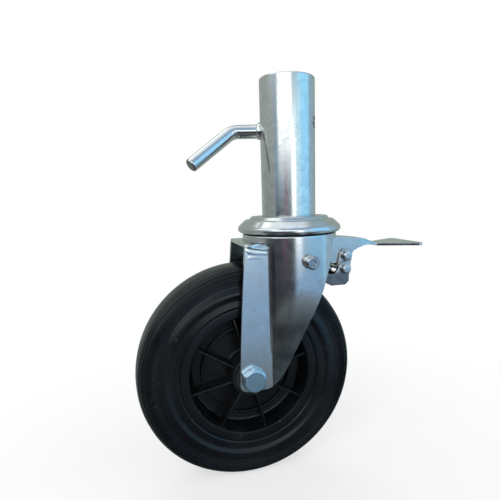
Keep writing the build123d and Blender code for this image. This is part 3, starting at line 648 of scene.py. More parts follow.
BLACK_RUBBER = Moulded(
    "black_rubber", (0.003, 0.004, 0.006), (0.006, 0.008, 0.010),
    roughness=(0.24, 0.34), specular=0.31, grain_scale=700.0, grain_height=0.03, crevice_amount=0.06,
)
SEAL_RUBBER = Moulded("seal_rubber", (0.008, 0.008, 0.009), (0.014, 0.014, 0.015), roughness=(0.6, 0.8))


def dress(nodes: Iterable[str], material: Material) -> None:
    """Give CAD nodes their finish.

    Args:
        nodes: Names of the nodes.
        material: Finish that fills all of a node's slots.
    """
    for name in nodes:
        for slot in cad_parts[name].material_slots:
            slot.material = material
        LOG.info("%s wears %s", name, material.name)


def both_sides(near: Sequence[Stop], middle: Sequence[Stop] = ()) -> list[Stop]:
    """Complete an outline by mirroring its half at +Y.

    Args:
        near: Corners of that half.
        middle: Corners between the two halves.

    Returns:
        Corners of the whole outline.
    """
    return [*near, *middle, *((radius, -y, rounding) for radius, y, rounding in reversed(near))]


def rounded_outline(stops: Sequence[Stop], steps: int = 4) -> Outline:
    """Round the corners of a closed outline.

    Args:
        stops: Its corners.
        steps: Number of pieces in each rounded corner.

    Returns:
        Points of the outline.
    """
    points: Outline = []
    for index, (x, y, rounding) in enumerate(stops):
        corner = Vector((x, y))
        before = Vector(stops[index - 1][:2]) - corner
        after = Vector(stops[(index + 1) % len(stops)][:2]) - corner
        if rounding <= 0.0:
            points.append((x, y))
            continue
        half_angle = before.angle(after) / 2
        reach = min(rounding / math.tan(half_angle), before.length * 0.48, after.length * 0.48)
        start = corner + before.normalized() * reach
        end = corner + after.normalized() * reach
        for step in range(steps + 1):
            part = step / steps
            point = start * (1 - part) ** 2 + corner * 2 * part * (1 - part) + end * part**2
            points.append((point.x, point.y))
    return points


def bridge(
    shape: BMesh, loops: Sequence[Sequence[BMVert]], ring: bool = False
) -> None:
    """Join closed loops of vertices with faces.

    Args:
        shape: Mesh in the making.
        loops: Loops with as many vertices each.
        ring: True to join the last loop to the first. Otherwise both ends get a face.
    """
    pairs = list(zip(loops, loops[1:]))
    if ring:
        pairs.append((loops[-1], loops[0]))
    for here, there in pairs:
        for index in range(len(here)):
            follow = (index + 1) % len(here)
            shape.faces.new((here[index], here[follow], there[follow], there[index]))
    if not ring:
        shape.faces.new(loops[0])
        shape.faces.new(loops[-1])


def turned_mesh(name: str, outline: Outline, centre: Vector, segments: int = 256) -> Mesh:
    """Turn a closed outline about the axis along Y.

    Args:
        name: Name of the mesh.
        outline: Points as (radius, y).
        centre: A point on the axis.
        segments: Steps round the axis.

    Returns:
        A closed mesh with its normals outward.
    """
    shape = bmesh.new()
    rings = []
    for step in range(segments):
        angle = 2 * math.pi * step / segments
        out = Vector((math.cos(angle), 0.0, math.sin(angle)))
        places = (centre + out * radius + Vector((0.0, y, 0.0)) for radius, y in outline)
        rings.append([shape.verts.new(place) for place in places])
    bridge(shape, rings, ring=True)
    return finished_mesh(name, shape)


def plain_mesh(name: str, shape: BMesh) -> Mesh:
    """Turn a mesh in the making into one for an object, as it is.

    Args:
        name: Name of the mesh.
        shape: The mesh in the making. It is freed.

    Returns:
        The mesh.
    """
    mesh = bpy.data.meshes.new(name)
    shape.to_mesh(mesh)
    shape.free()
    return mesh


def finished_mesh(name: str, shape: BMesh, sharp: float = 38.0) -> Mesh:
    """Merge doubles, turn the normals outward and shade smooth up to an angle.

    Args:
        name: Name of the mesh.
        shape: The mesh in the making. It is freed.
        sharp: Angle in degrees from which an edge stays sharp.

    Returns:
        The finished mesh.
    """
    bmesh.ops.remove_doubles(shape, verts=shape.verts, dist=0.002 * MM)
    bmesh.ops.recalc_face_normals(shape, faces=shape.faces)
    mesh = plain_mesh(name, shape)
    mesh.polygons.foreach_set("use_smooth", [True] * len(mesh.polygons))
    mesh.set_sharp_from_angle(angle=math.radians(sharp))
    return mesh


def joined_mesh(name: str, meshes: Iterable[Mesh]) -> Mesh:
    """Put several meshes into one.

    Args:
        name: Name of the joined mesh.
        meshes: Meshes to join.

    Returns:
        The joined mesh.
    """
    shape = bmesh.new()
    for mesh in meshes:
        shape.from_mesh(mesh)
    return finished_mesh(name, shape)


def in_scene(name: str, data: ID) -> Object:
    """Make an object and link it into the scene.

    Args:
        name: Name of the object.
        data: Its mesh, lamp or camera.

    Returns:
        The new object.
    """
    made = bpy.data.objects.new(name, data)
    bpy.context.scene.collection.objects.link(made)
    return made


def placed_piece(
    mesh: Mesh, body: str, slot: str, material: Material, *stands_for: str
) -> Object:
    """Put a finished mesh into the scene as a piece of the castor.

    Args:
        mesh: Mesh with its place in its vertices.
        body: Body that it moves with.
        slot: Name of a material slot of the record. It is not used.
        material: Its finish.
        stands_for: CAD nodes that it replaces.

    Returns:
        The new object.
    """
    piece = in_scene(mesh.name, mesh)
    mesh.materials.clear()
    mesh.materials.append(material)
    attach(piece, body)
    if stands_for:
        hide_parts(*stands_for)
    LOG.info("%s rides on %s with %d faces", mesh.name, body, len(mesh.polygons))
    return piece


def box_middle(node: str) -> Vector:
    """Give the middle of a CAD node's box.

    Args:
        node: Name of the node.

    Returns:
        Its middle.
    """
    low, high = (Vector(corner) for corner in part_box(node))
    return (low + high) / 2


@dataclass
class RingPattern:
    """Geometry nodes that repeat one piece about an axis along Y."""

    count: int
    radius: float
    turn: float
    centre: Vector

    @staticmethod
    def tree() -> NodeTree:
        """Build the tree once, or find it again.

        Returns:
            The tree, with named inputs for the piece, its number, its circle and its material.
        """
        if "ring_of_pieces" in bpy.data.node_groups:
            return bpy.data.node_groups["ring_of_pieces"]
        tree = bpy.data.node_groups.new("ring_of_pieces", "GeometryNodeTree")
        kinds = {
            "Piece": "Object", "Count": "Int", "Radius": "Float",
            "Turn": "Float", "Centre": "Vector", "Material": "Material",
        }
        for name, kind in kinds.items():
            tree.interface.new_socket(name=name, in_out="INPUT", socket_type="NodeSocket" + kind)
        tree.interface.new_socket(name="Geometry", in_out="OUTPUT", socket_type="NodeSocketGeometry")
        graph = Graph(tree)
        given = graph.add("NodeGroupInput").outputs
        spots = {"Count": given["Count"], "Position": given["Centre"]}
        points = graph.add("GeometryNodePoints", spots).outputs[0]
        index = graph.add("GeometryNodeInputIndex").outputs[0]
        step = graph.math("DIVIDE", 2 * math.pi, given["Count"])
        angle = graph.math("ADD", graph.math("MULTIPLY", index, step), given["Turn"])
        turned = graph.add("ShaderNodeCombineXYZ", {"Y": graph.math("MULTIPLY", angle, -1.0)}).outputs[0]
        source = {"Object": given["Piece"], "As Instance": True}
        piece = graph.add("GeometryNodeObjectInfo", source).outputs["Geometry"]
        placing = {"Points": points, "Instance": piece, "Rotation": turned}
        copies = graph.add("GeometryNodeInstanceOnPoints", placing).outputs[0]
        reach = graph.add("ShaderNodeCombineXYZ", {"X": given["Radius"]}).outputs[0]
        shift = {"Instances": copies, "Translation": reach}
        spread = graph.add("GeometryNodeTranslateInstances", shift).outputs[0]
        real = graph.add("GeometryNodeRealizeInstances", {"Geometry": spread}).outputs[0]
        finish = {"Geometry": real, "Material": given["Material"]}
        return graph.give(Geometry=graph.add("GeometryNodeSetMaterial", finish).outputs[0])

    def repeat(self, mesh: Mesh, material: Material) -> Mesh:
        """Repeat a mesh round the ring.

        Args:
            mesh: The piece, drawn about the origin with +X pointing away from the axis.
            material: Its finish.

        Returns:
            One plain mesh with all the copies.
        """
        piece = in_scene(mesh.name + "_one", mesh)
        host = in_scene(mesh.name + "_ring", bpy.data.meshes.new(mesh.name + "_host"))
        modifier = host.modifiers.new("ring", "NODES")
        modifier.node_group = self.tree()
        values = {
            "Piece": piece, "Count": self.count, "Radius": self.radius,
            "Turn": self.turn, "Centre": tuple(self.centre), "Material": material,
        }
        for item in modifier.node_group.interface.items_tree:
            if item.in_out == "INPUT":
                modifier[item.identifier] = values[item.name]
        graph = bpy.context.evaluated_depsgraph_get()
        result = bpy.data.meshes.new_from_object(host.evaluated_get(graph))
        for made in (piece, host):
            bpy.data.objects.remove(made)
        return result


@dataclass
class Wheel:
    """The wheel: a ribbed plastic centre, a rubber tyre and the roller bearing."""

    rib_count: int = 8
    rib_turn: float = math.radians(14.0)
    rib_thickness: float = 2.2 * MM
    hub_radius: float = 18.0 * MM
    bore_radius: float = 12.6 * MM
    web_thickness: float = 5.0 * MM
    rim_half: float = 20.8 * MM
    rib_hub_inset: float = 3.8 * MM
    rib_rim_inset: float = 2.8 * MM
    seat_radius: float = 61.0 * MM
    flange_start: float = 17.0 * MM
    mouth_radius: float = 54.8 * MM
    ring_rib_radius: float = 42.0 * MM
    ring_rib_half: float = 6.5 * MM
    wall_inset: float = 2.0 * MM
    seat_gap: float = 0.05 * MM
    ridge_height: float = 0.85 * MM
    pip_radius: float = 0.55 * MM
    ridges: tuple[tuple[float, float], ...] = (  # drop below the tread and inset from the wall, in mm
        (12.3, 0.3), (10.6, 0.5), (8.9, 0.8), (7.2, 1.2), (4.4, 2.6),
    )
    pip_rings: tuple[tuple[int, float, float, float], ...] = (  # count, radius in mm, degrees, inset in mm
        (8, 80.0, 202.0, 0.25), (4, 68.7, 146.0, 1.45),
    )
    segments: int = 288
    centre: Vector = field(default_factory=lambda: box_middle("tyre"))

    def build(self) -> None:
        """Build and dress the wheel."""
        rubber = BLACK_RUBBER.material()
        plastic = BLACK_PLASTIC.material()
        placed_piece(self.rim_mesh(plastic), "wheel", "black_plastic", plastic, "wheel_rim")
        placed_piece(self.tyre_mesh(rubber), "wheel", "black_rubber", rubber, "tyre")
        dress(("bearing_rollers",), BEARING_STEEL.material())
        dress(("roller_cage",), CAGE_STEEL.material())
        dress(("hub_washers",), WASHER_PLASTIC.material())

    def rim_mesh(self, plastic: Material) -> Mesh:
        """Build the plastic centre.

        Args:
            plastic: Its finish.

        Returns:
            One mesh with the turned body, the ribs and the ring rib.
        """
        low, high = (Vector(corner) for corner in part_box("wheel_rim"))
        flange = (high.x - low.x) / 2
        hub_half = (high.y - low.y) / 2
        half = self.rim_half
        web = self.web_thickness / 2
        near = [
            (self.bore_radius, hub_half, 0.4 * MM),
            (self.hub_radius, hub_half, 1.0 * MM),
            (self.hub_radius + 0.6 * MM, web, 2.5 * MM),
            (self.mouth_radius - 2.4 * MM, web, 3.0 * MM),
            (self.mouth_radius - 1.9 * MM, half - 7.5 * MM, 5.0 * MM),
            (self.mouth_radius + 0.6 * MM, half, 0.9 * MM),
            (flange, half, 1.0 * MM),
            (flange, self.flange_start, 0.2 * MM),
            (self.seat_radius, self.flange_start, 0.2 * MM),
        ]
        body = turned_mesh("rim_body", rounded_outline(both_sides(near)), self.centre, self.segments)
        ring = [
            (self.ring_rib_radius + side * self.rib_thickness / 2, end * self.ring_rib_half, 0.7 * MM)
            for side, end in ((-1, 1), (1, 1), (1, -1), (-1, -1))
        ]
        ring_rib = turned_mesh("ring_rib", rounded_outline(ring), self.centre, self.segments)
        rib_top = (hub_half - self.rib_hub_inset, half - self.rib_rim_inset)
        pattern = RingPattern(self.rib_count, 0.0, self.rib_turn, self.centre)
        ribs = pattern.repeat(self.rib_mesh(rib_top), plastic)
        return joined_mesh("wheel_centre", (body, ring_rib, ribs))

    def rib_mesh(self, tops: tuple[float, float]) -> Mesh:
        """Build one radial rib with rounded edges.

        Args:
            tops: Its half widths along Y at the hub and at the barrel.

        Returns:
            The rib's mesh.
        """
        shape = bmesh.new()
        bmesh.ops.create_cube(shape, size=1.0)
        start, end = self.hub_radius - 1.0 * MM, self.mouth_radius
        for vertex in shape.verts:
            reach, top = (end, tops[1]) if vertex.co.x > 0 else (start, tops[0])
            depth = math.copysign(top, vertex.co.y)
            vertex.co = Vector((reach, depth, math.copysign(self.rib_thickness / 2, vertex.co.z)))
        bmesh.ops.bevel(shape, geom=shape.edges, offset=0.7 * MM, segments=3, profile=0.5, affect="EDGES")
        return finished_mesh("rib", shape)

    def tyre_mesh(self, rubber: Material) -> Mesh:
        """Build the tyre.

        Args:
            rubber: Its finish.

        Returns:
            One mesh with the turned tyre and its moulding pips.
        """
        low, high = (Vector(corner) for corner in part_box("tyre"))
        radius = (high.x - low.x) / 2
        half = (high.y - low.y) / 2
        flange = Vector(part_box("wheel_rim")[1]).x - self.centre.x
        wall = half - self.wall_inset
        near = [
            (self.seat_radius + self.seat_gap, self.flange_start, 0.0),
            (flange + self.seat_gap, self.flange_start, 0.0),
            (flange + self.seat_gap, half - 1.8 * MM, 0.6 * MM),
            (flange + 1.4 * MM, half - 0.9 * MM, 0.8 * MM),
            (flange + 8.0 * MM, half - 1.9 * MM, 6.0 * MM),
            (flange + 11.4 * MM, half, 3.0 * MM),
            (flange + 14.2 * MM, half - 0.5 * MM, 2.4 * MM),
            (flange + 19.0 * MM, wall - 0.5 * MM, 2.6 * MM),
            (radius - 14.6 * MM, wall - 0.3 * MM, 0.6 * MM),
        ]
        for drop, inset in self.ridges:
            top = radius - drop * MM
            level = wall - inset * MM
            near += [
                (top - 0.55 * MM, level, 0.2 * MM),
                (top - 0.1 * MM, level + self.ridge_height, 0.2 * MM),
                (top + 0.4 * MM, level - 0.1 * MM, 0.2 * MM),
            ]
        near += [
            (radius - 1.9 * MM, half - 6.8 * MM, 2.5 * MM),
            (radius - 0.5 * MM, half - 13.0 * MM, 4.0 * MM),
        ]
        outline = rounded_outline(both_sides(near, [(radius, 0.0, 8.0 * MM)]), 5)
        body = turned_mesh("tyre_body", outline, self.centre, self.segments)
        shape = bmesh.new()
        bmesh.ops.create_uvsphere(shape, u_segments=12, v_segments=8, radius=self.pip_radius)
        pip = finished_mesh("pip", shape)
        parts = [body]
        for side in (-1, 1):
            for count, radius_mm, turn, inset_mm in self.pip_rings:
                centre = self.centre + Vector((0, side * (half - inset_mm * MM), 0))
                pattern = RingPattern(count, radius_mm * MM, math.radians(turn), centre)
                parts.append(pattern.repeat(pip, rubber))
        return joined_mesh("tyre_rubber", parts)


@dataclass
class BentAxis:
    """Centre line of a bent bar: a straight length, an arc and another straight length."""

    start: Vector
    bend: Vector
    tip: Vector
    radius: float

    def __post_init__(self) -> None:
        """Work out its directions and lengths."""
        self.first = (self.bend - self.start).normalized()
        self.second = (self.tip - self.bend).normalized()
        self.across = self.first.cross(self.second).normalized()
        angle = self.first.angle(self.second)
        tangent = self.radius * math.tan(angle / 2)
        self.straight = (self.bend - self.start).length - tangent
        self.arc = self.radius * angle
        self.length = self.straight + self.arc + (self.tip - self.bend).length - tangent

    def at(self, distance: float) -> tuple[Vector, Vector]:
        """Find a place on the line.

        Args:
            distance: Way along it from its start.

        Returns:
            The place and the direction there.
        """
        if distance <= self.straight:
            return self.start + self.first * distance, self.first
        if distance > self.straight + self.arc:
            return self.tip - self.second * (self.length - distance), self.second
        spin = Matrix.Rotation((distance - self.straight) / self.radius, 3, self.across)
        inward = self.across.cross(self.first)
        centre = self.start + self.first * self.straight + (inward - spin @ inward) * self.radius
        return centre, spin @ self.first


@dataclass
class LockingRod:
    """The bent round bar that is welded into the stem, with the wrinkles that its bending left."""

    start: Vector = field(default_factory=lambda: Vector((-20.1, 7.3, 74.0)) * MM)
    bend: Vector = field(default_factory=lambda: Vector((-46.4, 16.9, 74.4)) * MM)
    tip: Vector = field(default_factory=lambda: Vector((-86.2, 4.5, 44.6)) * MM)
    radius: float = 6.0 * MM
    bend_radius: float = 13.0 * MM
    end_break: float = 1.2 * MM
    end_rings: tuple[tuple[float, float], ...] = (  # way to the end in end breaks, and share of the radius
        (1.0, 1.0), (0.3, 0.9), (0.0, 0.8), (0.0, 0.5), (0.0, 0.2),
    )
    wrinkle_pitch: float = 3.1 * MM
    wrinkle_depth: float = 0.42 * MM
    wrinkle_length: float = 5.2 * MM
    wrinkle_start: float = 0.25
    weld: tuple[float, float] = (1.4 * MM, 5.6 * MM)
    weld_swell: float = 1.5 * MM
    weld_rings: int = 10
    ring_step: float = 0.45 * MM
    sides: int = 56

    def build(self) -> None:
        """Build and dress the rod."""
        axis = BentAxis(self.start, self.bend, self.tip, self.bend_radius)
        finish = RodPlating(
            "rod_plating", (0.82, 0.83, 0.84), (0.62, 0.64, 0.65), (0.10, 0.19), clouds=160.0, contrast=0.9,
            scratches=0.2, mark_and_shade_colour=(0.20, 0.17, 0.15), tip=tuple(axis.tip), heading=tuple(axis.second),
        )
        parts = (self.bar_mesh(axis), self.weld_mesh(axis))
        placed_piece(joined_mesh("bent_rod", parts), "stem", "plated_tube", finish.material(), "locking_rod")

    def bar_mesh(self, axis: BentAxis) -> Mesh:
        """Sweep the bar along its axis.

        Args:
            axis: Its centre line.

        Returns:
            A closed mesh.
        """
        count = int((axis.length - self.end_break) / self.ring_step)
        rings = [(step * self.ring_step, 1.0) for step in range(count)]
        rings += [(axis.length - self.end_break * left, share) for left, share in self.end_rings]
        shape = bmesh.new()
        loops = []
        for distance, share in rings:
            centre, way = axis.at(distance)
            inward = axis.across.cross(way)
            past = distance - axis.straight - axis.arc * self.wrinkle_start
            loop = []
            for side in range(self.sides):
                turn = 2 * math.pi * side / self.sides
                out = inward * math.cos(turn) + axis.across * math.sin(turn)
                reach = (self.radius - self.wrinkle(past, turn)) * share
                loop.append(shape.verts.new(centre + out * reach))
            loops.append(loop)
        bridge(shape, loops)
        return finished_mesh("bar", shape)

    def wrinkle(self, distance: float, turn: float) -> float:
        """Give the depth of the wrinkles on the inside of the bend.

        Args:
            distance: Way along the bar from the middle of the wrinkles.
            turn: Angle round the bar from the inside of the bend.

        Returns:
            Depth below the round bar.
        """
        inside = max(0.0, math.cos(turn)) ** 2
        near = math.exp(-((distance / self.wrinkle_length) ** 2))
        wave = 0.5 - 0.5 * math.cos(2 * math.pi * distance / self.wrinkle_pitch)
        return self.wrinkle_depth * inside * near * wave

    def weld_mesh(self, axis: BentAxis) -> Mesh:
        """Build the weld bead round the bar where it enters the tube.

        Args:
            axis: The bar's centre line.

        Returns:
            A closed mesh.
        """
        across = axis.first.orthogonal().normalized()
        other = axis.first.cross(across)
        low, high = self.weld
        shape = bmesh.new()
        loops = []
        for step in range(self.weld_rings + 1):
            share = step / self.weld_rings
            swell = self.weld_swell * math.sqrt(max(0.0, 1 - share**2)) + 0.02 * MM
            loop = []
            for side in range(self.sides):
                turn = 2 * math.pi * side / self.sides
                lump = 1 + 0.08 * math.sin(turn * 9 + share * 2.0) + 0.1 * math.sin(turn * 3 + 1.0)
                out = across * math.cos(turn) + other * math.sin(turn)
                place = axis.start + axis.first * (low + (high - low) * share * (0.9 + 0.1 * lump))
                loop.append(shape.verts.new(place + out * (self.radius + swell * lump)))
            loops.append(loop)
        bridge(shape, loops)
        return finished_mesh("weld", shape)


@dataclass
class Stem:
    """The stem tube with its lock hole, and the locking rod."""

    hole_turn: float = math.radians(-25.0)
    hole_shift: float = math.radians(-7.0)
    round_from: float = 0.95
    rod: LockingRod = field(default_factory=LockingRod)

    def build(self) -> None:
        """Build and dress the tube and the rod."""
        placed_piece(self.tube_mesh(), "stem", "plated_tube", TUBE_PLATING.material(), "stem_tube")
        self.rod.build()

    def tube_mesh(self) -> Mesh:
        """Copy the tube and turn its lock hole a little further round, where the photograph shows it.

        Returns:
            The tube's mesh.
        """
        shape = bmesh.new()
        shape.from_mesh(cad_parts["stem_tube"].data)
        bmesh.ops.remove_doubles(shape, verts=shape.verts, dist=0.002 * MM)
        for vertex in shape.verts:
            away = math.atan2(vertex.co.y, vertex.co.x) - self.hole_turn
            share = (0.5 + 0.5 * math.cos(away)) ** 0.5
            vertex.co.xy = Matrix.Rotation(self.hole_shift * share, 2) @ vertex.co.xy
        mesh = finished_mesh("lock_tube", shape)
        corners = [normal for face in mesh.polygons for normal in self.round_normals(mesh, face)]
        mesh.normals_split_custom_set(corners)
        return mesh

    def round_normals(self, mesh: Mesh, face: MeshPolygon) -> list[Vector]:
        """Give a face the normals of the round tube, so that its long faces mirror evenly.

        Args:
            mesh: The tube's mesh.
            face: One of its faces.

        Returns:
            A normal for each corner. A face that isn't part of the tube's walls keeps its own.
        """
        facing = face.normal.dot(face.center.xy.to_3d().normalized())
        if abs(facing) <= self.round_from:
            return [face.normal.copy() for _ in face.vertices]
        way = math.copysign(1.0, facing)
        return [mesh.vertices[corner].co.xy.to_3d().normalized() * way for corner in face.vertices]


@dataclass
class SwivelHead:
    """The pressed cover, the races and the two ball rings."""

    turned: tuple[str, ...] = ("race_plate", "king_pin", "lower_race")
    balls: tuple[str, ...] = ("upper_balls", "lower_balls")

    def build(self, pressed: Material, turned: Material) -> None:
        """Dress the head.

        Args:
            pressed: Finish of pressed sheet.
            turned: Finish of turned pieces.
        """
        dress(("head_cover",), pressed)
        dress(self.turned, turned)
        dress(self.balls, BEARING_STEEL.material())
        dress(("swivel_seal",), SEAL_RUBBER.material())


@dataclass(frozen=True)
class ShoulderFold:
    """Wrinkled sheet where a strap bends out of the drum's edge."""

    name: str
    side: float
    crests: tuple[tuple[float, float, float, float], ...] = (  # level, slope, height and width in mm
        (-21.7, 1.8, 1.00, 0.8), (-24.8, -2.4, 0.75, 1.1), (-28.6, -4.2, 0.42, 1.5), (-33.0, -2.0, 0.14, 2.0),
    )
    front: float = -28.3 * MM
    back: float = -48.9 * MM
    top: float = -20.4 * MM
    bend_radius: float = 5.0 * MM
    face: float = 29.5 * MM
    foot: float = -37.0 * MM
    depth: float = 1.2 * MM
    rim_sink: float = 0.06
    side_fade: float = 7.0
    end_fade: float = 2.2 * MM
    columns: int = 56
    rows: int = 90

    def profile(self, way: float) -> tuple[Vector, Vector]:
        """Follow the strap's outside from its top round the bend and down.

        Args:
            way: Distance along it.

        Returns:
            Place and outward direction as (y, z), for the side at +Y.
        """
        quarter = self.bend_radius * math.pi / 2
        centre = Vector((self.face - self.bend_radius, self.top - self.bend_radius))
        if way < quarter:
            turn = way / self.bend_radius
            out = Vector((math.sin(turn), math.cos(turn)))
            return centre + out * self.bend_radius, out
        return Vector((self.face, centre.y - (way - quarter))), Vector((1.0, 0.0))

    def rise(self, across: float, level: float, way: float, length: float) -> float:
        """Give the height of the wrinkles.

        Args:
            across: Share of the strap's width from its back edge.
            level: Z of the place.
            way: Distance along the profile.
            length: Whole length of the profile.

        Returns:
            Height over the flat sheet, just below it at the patch's rim.
        """
        height = 0.0
        for level_mm, slope, tall, wide in self.crests:
            crest = level_mm + slope * (across - 0.5) + 0.5 * math.sin(across * 6.0 + level_mm)
            strength = 0.75 + 0.25 * math.sin(across * 4.3 + level_mm * 1.7)
            height += tall * strength * math.exp(-(((level / MM - crest) / wide) ** 2))
        sides = min(across, 1 - across) * self.side_fade
        ends = min(way, length - way) / self.end_fade
        fade = min(1.0, max(0.0, sides)) * min(1.0, max(0.0, ends))
        return (height * fade * fade * (3 - 2 * fade) - self.rim_sink) * MM

    def mesh(self) -> Mesh:
        """Build the closed sheet.

        Returns:
            The fold's mesh, its back sunk into the strap.
        """
        length = self.bend_radius * math.pi / 2 + (self.top - self.bend_radius - self.foot)
        shape = bmesh.new()
        loops = []
        for row in range(self.rows + 1):
            way = length * row / self.rows
            place, out = self.profile(way)
            lifted, sunk = [], []
            for column in range(self.columns + 1):
                across = column / self.columns
                x = self.back + (self.front - self.back) * across
                for side, point in (
                    (lifted, place + out * self.rise(across, place.y, way, length)),
                    (sunk, place - out * self.depth),
                ):
                    side.append(shape.verts.new((x, point.x * self.side, point.y)))
            loops.append(lifted + sunk[::-1])
        bridge(shape, loops)
        return finished_mesh(self.name, shape)


@dataclass
class Fork:
    """The pressed fork with its axle bolt and the brake's fixed pieces."""

    folds: tuple[ShoulderFold, ...] = (ShoulderFold("near_fold", -1.0), ShoulderFold("far_fold", 1.0))
    turned: tuple[str, ...] = (
        "axle_nut", "axle_washer", "axle_sleeve", "cross_pin_collar", "pivot_spacers", "pedal_pivot_pin",
    )

    def build(self, pressed: Material, turned: Material) -> None:
        """Dress the fork.

        Args:
            pressed: Finish of pressed sheet.
            turned: Finish of turned pieces.
        """
        plating = FORK_PLATING.material()
        dress(("fork",), plating)
        for fold in self.folds:
            placed_piece(fold.mesh(), "fork_body", "plated_pressing", plating)
        dress(("pedal_bracket",), pressed)
        dress(self.turned, turned)
        dress(("axle_bolt",), BOLT_PLATING.material())
        dress(("cross_pin",), PIN_PLATING.material())


@dataclass
class Brake:
    """The pedal, its spring, the links, the rivets and the lever."""

    rivets: tuple[str, ...] = ("upper_rivet", "lower_rivet")

    def build(self) -> None:
        """Dress the brake."""
        dress(("brake_pedal",), PEDAL_PLATING.material())
        dress(("brake_links",), LINK_PLATING.material())
        dress(("brake_lever",), LEVER_PLATING.material())
        dress(self.rivets, RIVET_PLATING.material())
        dress(("pedal_spring",), SPRING_STEEL.material())


@dataclass(frozen=True)
class Panel:
    """A panel of the studio that only reflections show, by azimuth and height in degrees."""

    name: str
    azimuth: float
    half_width: float
    height: float
    half_height: float
    colour: Colour
    soft: float = 8.0


@dataclass
class Studio:
    """Camera, lamps, floor, background and the panels that the metal reflects."""

    camera_place: Place = (-133.013, -379.272, 17.722)  # in mm
    camera_yaw: float = 0.2789
    camera_pitch: float = 0.191
    camera_roll: float = -0.0264
    camera_lens: float = 31.33
    camera_shift: tuple[float, float] = (-0.0295, 0.0612)
    floor_size: float = 8.0
    floor_fade: tuple[float, float] = (0.08, 0.42)
    floor_white: float = 0.62
    floor_tones: tuple[Colour, Colour] = ((0.90, 0.90, 0.90), (0.92, 0.92, 0.92))
    world_light: Colour = (0.93, 0.96, 1.0)
    world_strength: float = 0.55
    lamp_target: Place = (0.0, 0.0, -0.08)
    lamps: tuple[tuple[str, Place, float, float], ...] = (  # name, place and size in metres, power
        ("key_lamp", (-0.95, -1.35, 1.25), 1.1, 17.0),
        ("fill_lamp", (1.5, -0.9, 0.7), 1.2, 8.0),
        ("back_lamp", (0.2, 1.5, 1.3), 1.2, 9.0),
    )
    surround_radius: float = 3.2
    wall: Colour = (0.30, 0.33, 0.31)
    panels: tuple[Panel, ...] = (
        Panel("green_back", 65.0, 60.0, 0.0, 90.0, (0.36, 0.43, 0.38), 25.0),
        Panel("grey_left", 162.0, 42.0, 14.0, 50.0, (0.40, 0.43, 0.41), 14.0),
        Panel("grey_left_low", 170.0, 42.0, -26.0, 30.0, (0.30, 0.33, 0.32), 8.0),
        Panel("blue_sky", 262.0, 80.0, 38.0, 22.0, (0.34, 0.50, 0.68), 8.0),
        Panel("blue_right", 322.0, 30.0, 10.0, 24.0, (0.42, 0.90, 1.25), 10.0),
        Panel("pale_right", 291.0, 14.0, 6.0, 10.0, (0.72, 1.02, 1.15), 5.0),
        Panel("grey_right", 6.0, 16.0, 0.0, 60.0, (0.34, 0.50, 0.62), 9.0),
        Panel("mid_front", 226.0, 34.0, 4.0, 7.0, (0.30, 0.42, 0.52), 5.0),
        Panel("blue_low", 302.0, 38.0, -14.0, 9.0, (0.28, 0.46, 0.68), 5.0),
        Panel("dark_front", 230.0, 36.0, -13.0, 13.0, (0.028, 0.032, 0.040), 4.0),
        Panel("low_right", 300.0, 60.0, -42.0, 18.0, (0.12, 0.15, 0.17), 8.0),
        Panel("low_front", 232.0, 34.0, -50.0, 22.0, (0.10, 0.11, 0.11), 8.0),
        Panel("red_core", 241.0, 5.0, -1.0, 6.0, (0.20, 0.07, 0.12), 3.0),
        Panel("white_strip", 274.0, 8.0, 2.0, 8.0, (2.2, 2.3, 2.3), 5.0),
        Panel("white_left", 194.0, 28.0, 42.0, 20.0, (1.30, 1.38, 1.32), 9.0),
        Panel("white_cover", 126.0, 24.0, 60.0, 10.0, (2.3, 2.4, 2.3), 9.0),
        Panel("white_high", 240.0, 29.0, 13.5, 6.5, (2.1, 2.15, 2.1), 5.0),
        Panel("white_top", 0.0, 180.0, 84.0, 18.0, (0.95, 1.05, 1.12), 8.0),
        Panel("dark_low", 0.0, 180.0, -76.0, 20.0, (0.06, 0.07, 0.065), 10.0),
    )

    def build(self) -> None:
        """Build the studio."""
        self.add_camera()
        self.add_lamps()
        self.add_floor()
        self.add_background()
        self.add_surround()

    def add_camera(self) -> None:
        """Place the camera at the photograph's viewpoint."""
        yaw, pitch, roll = self.camera_yaw, self.camera_pitch, self.camera_roll
        forward = Vector((math.sin(yaw) * math.cos(pitch), math.cos(yaw) * math.cos(pitch), -math.sin(pitch)))
        level = Vector((math.cos(yaw), -math.sin(yaw), 0.0))
        upright = level.cross(forward)
        right = level * math.cos(roll) + upright * math.sin(roll)
        up = upright * math.cos(roll) - level * math.sin(roll)
        camera = bpy.data.cameras.new("photo_camera")
        camera.lens = self.camera_lens
        camera.shift_x, camera.shift_y = self.camera_shift
        camera.clip_start = 0.01
        holder = in_scene("photo_camera", camera)
        place = Matrix.Translation(Vector(self.camera_place) * MM)
        holder.matrix_world = place @ Matrix((right, up, -forward)).transposed().to_4x4()
        bpy.context.scene.camera = holder

    def add_lamps(self) -> None:
        """Hang three soft lamps, which light the scene but aren't mirrored."""
        for name, place, size, power in self.lamps:
            light = bpy.data.lights.new(name, "AREA")
            light.shape = "SQUARE"
            light.size = size
            light.energy = power
            lamp = in_scene(name, light)
            aim = (Vector(self.lamp_target) - Vector(place)).to_track_quat("-Z", "Y")
            lamp.matrix_world = Matrix.Translation(place) @ aim.to_matrix().to_4x4()
            lamp.visible_glossy = False

    def add_floor(self) -> None:
        """Lay the plain floor, which fades to white away from the castor and keeps its shadow."""
        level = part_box("tyre")[0][2]
        shape = bmesh.new()
        bmesh.ops.create_grid(shape, x_segments=1, y_segments=1, size=self.floor_size / 2)
        bmesh.ops.translate(shape, verts=shape.verts, vec=(0, 0, level))
        floor = in_scene("floor", plain_mesh("floor", shape))
        floor.data.materials.append(self.floor_material())
        floor.visible_glossy = False

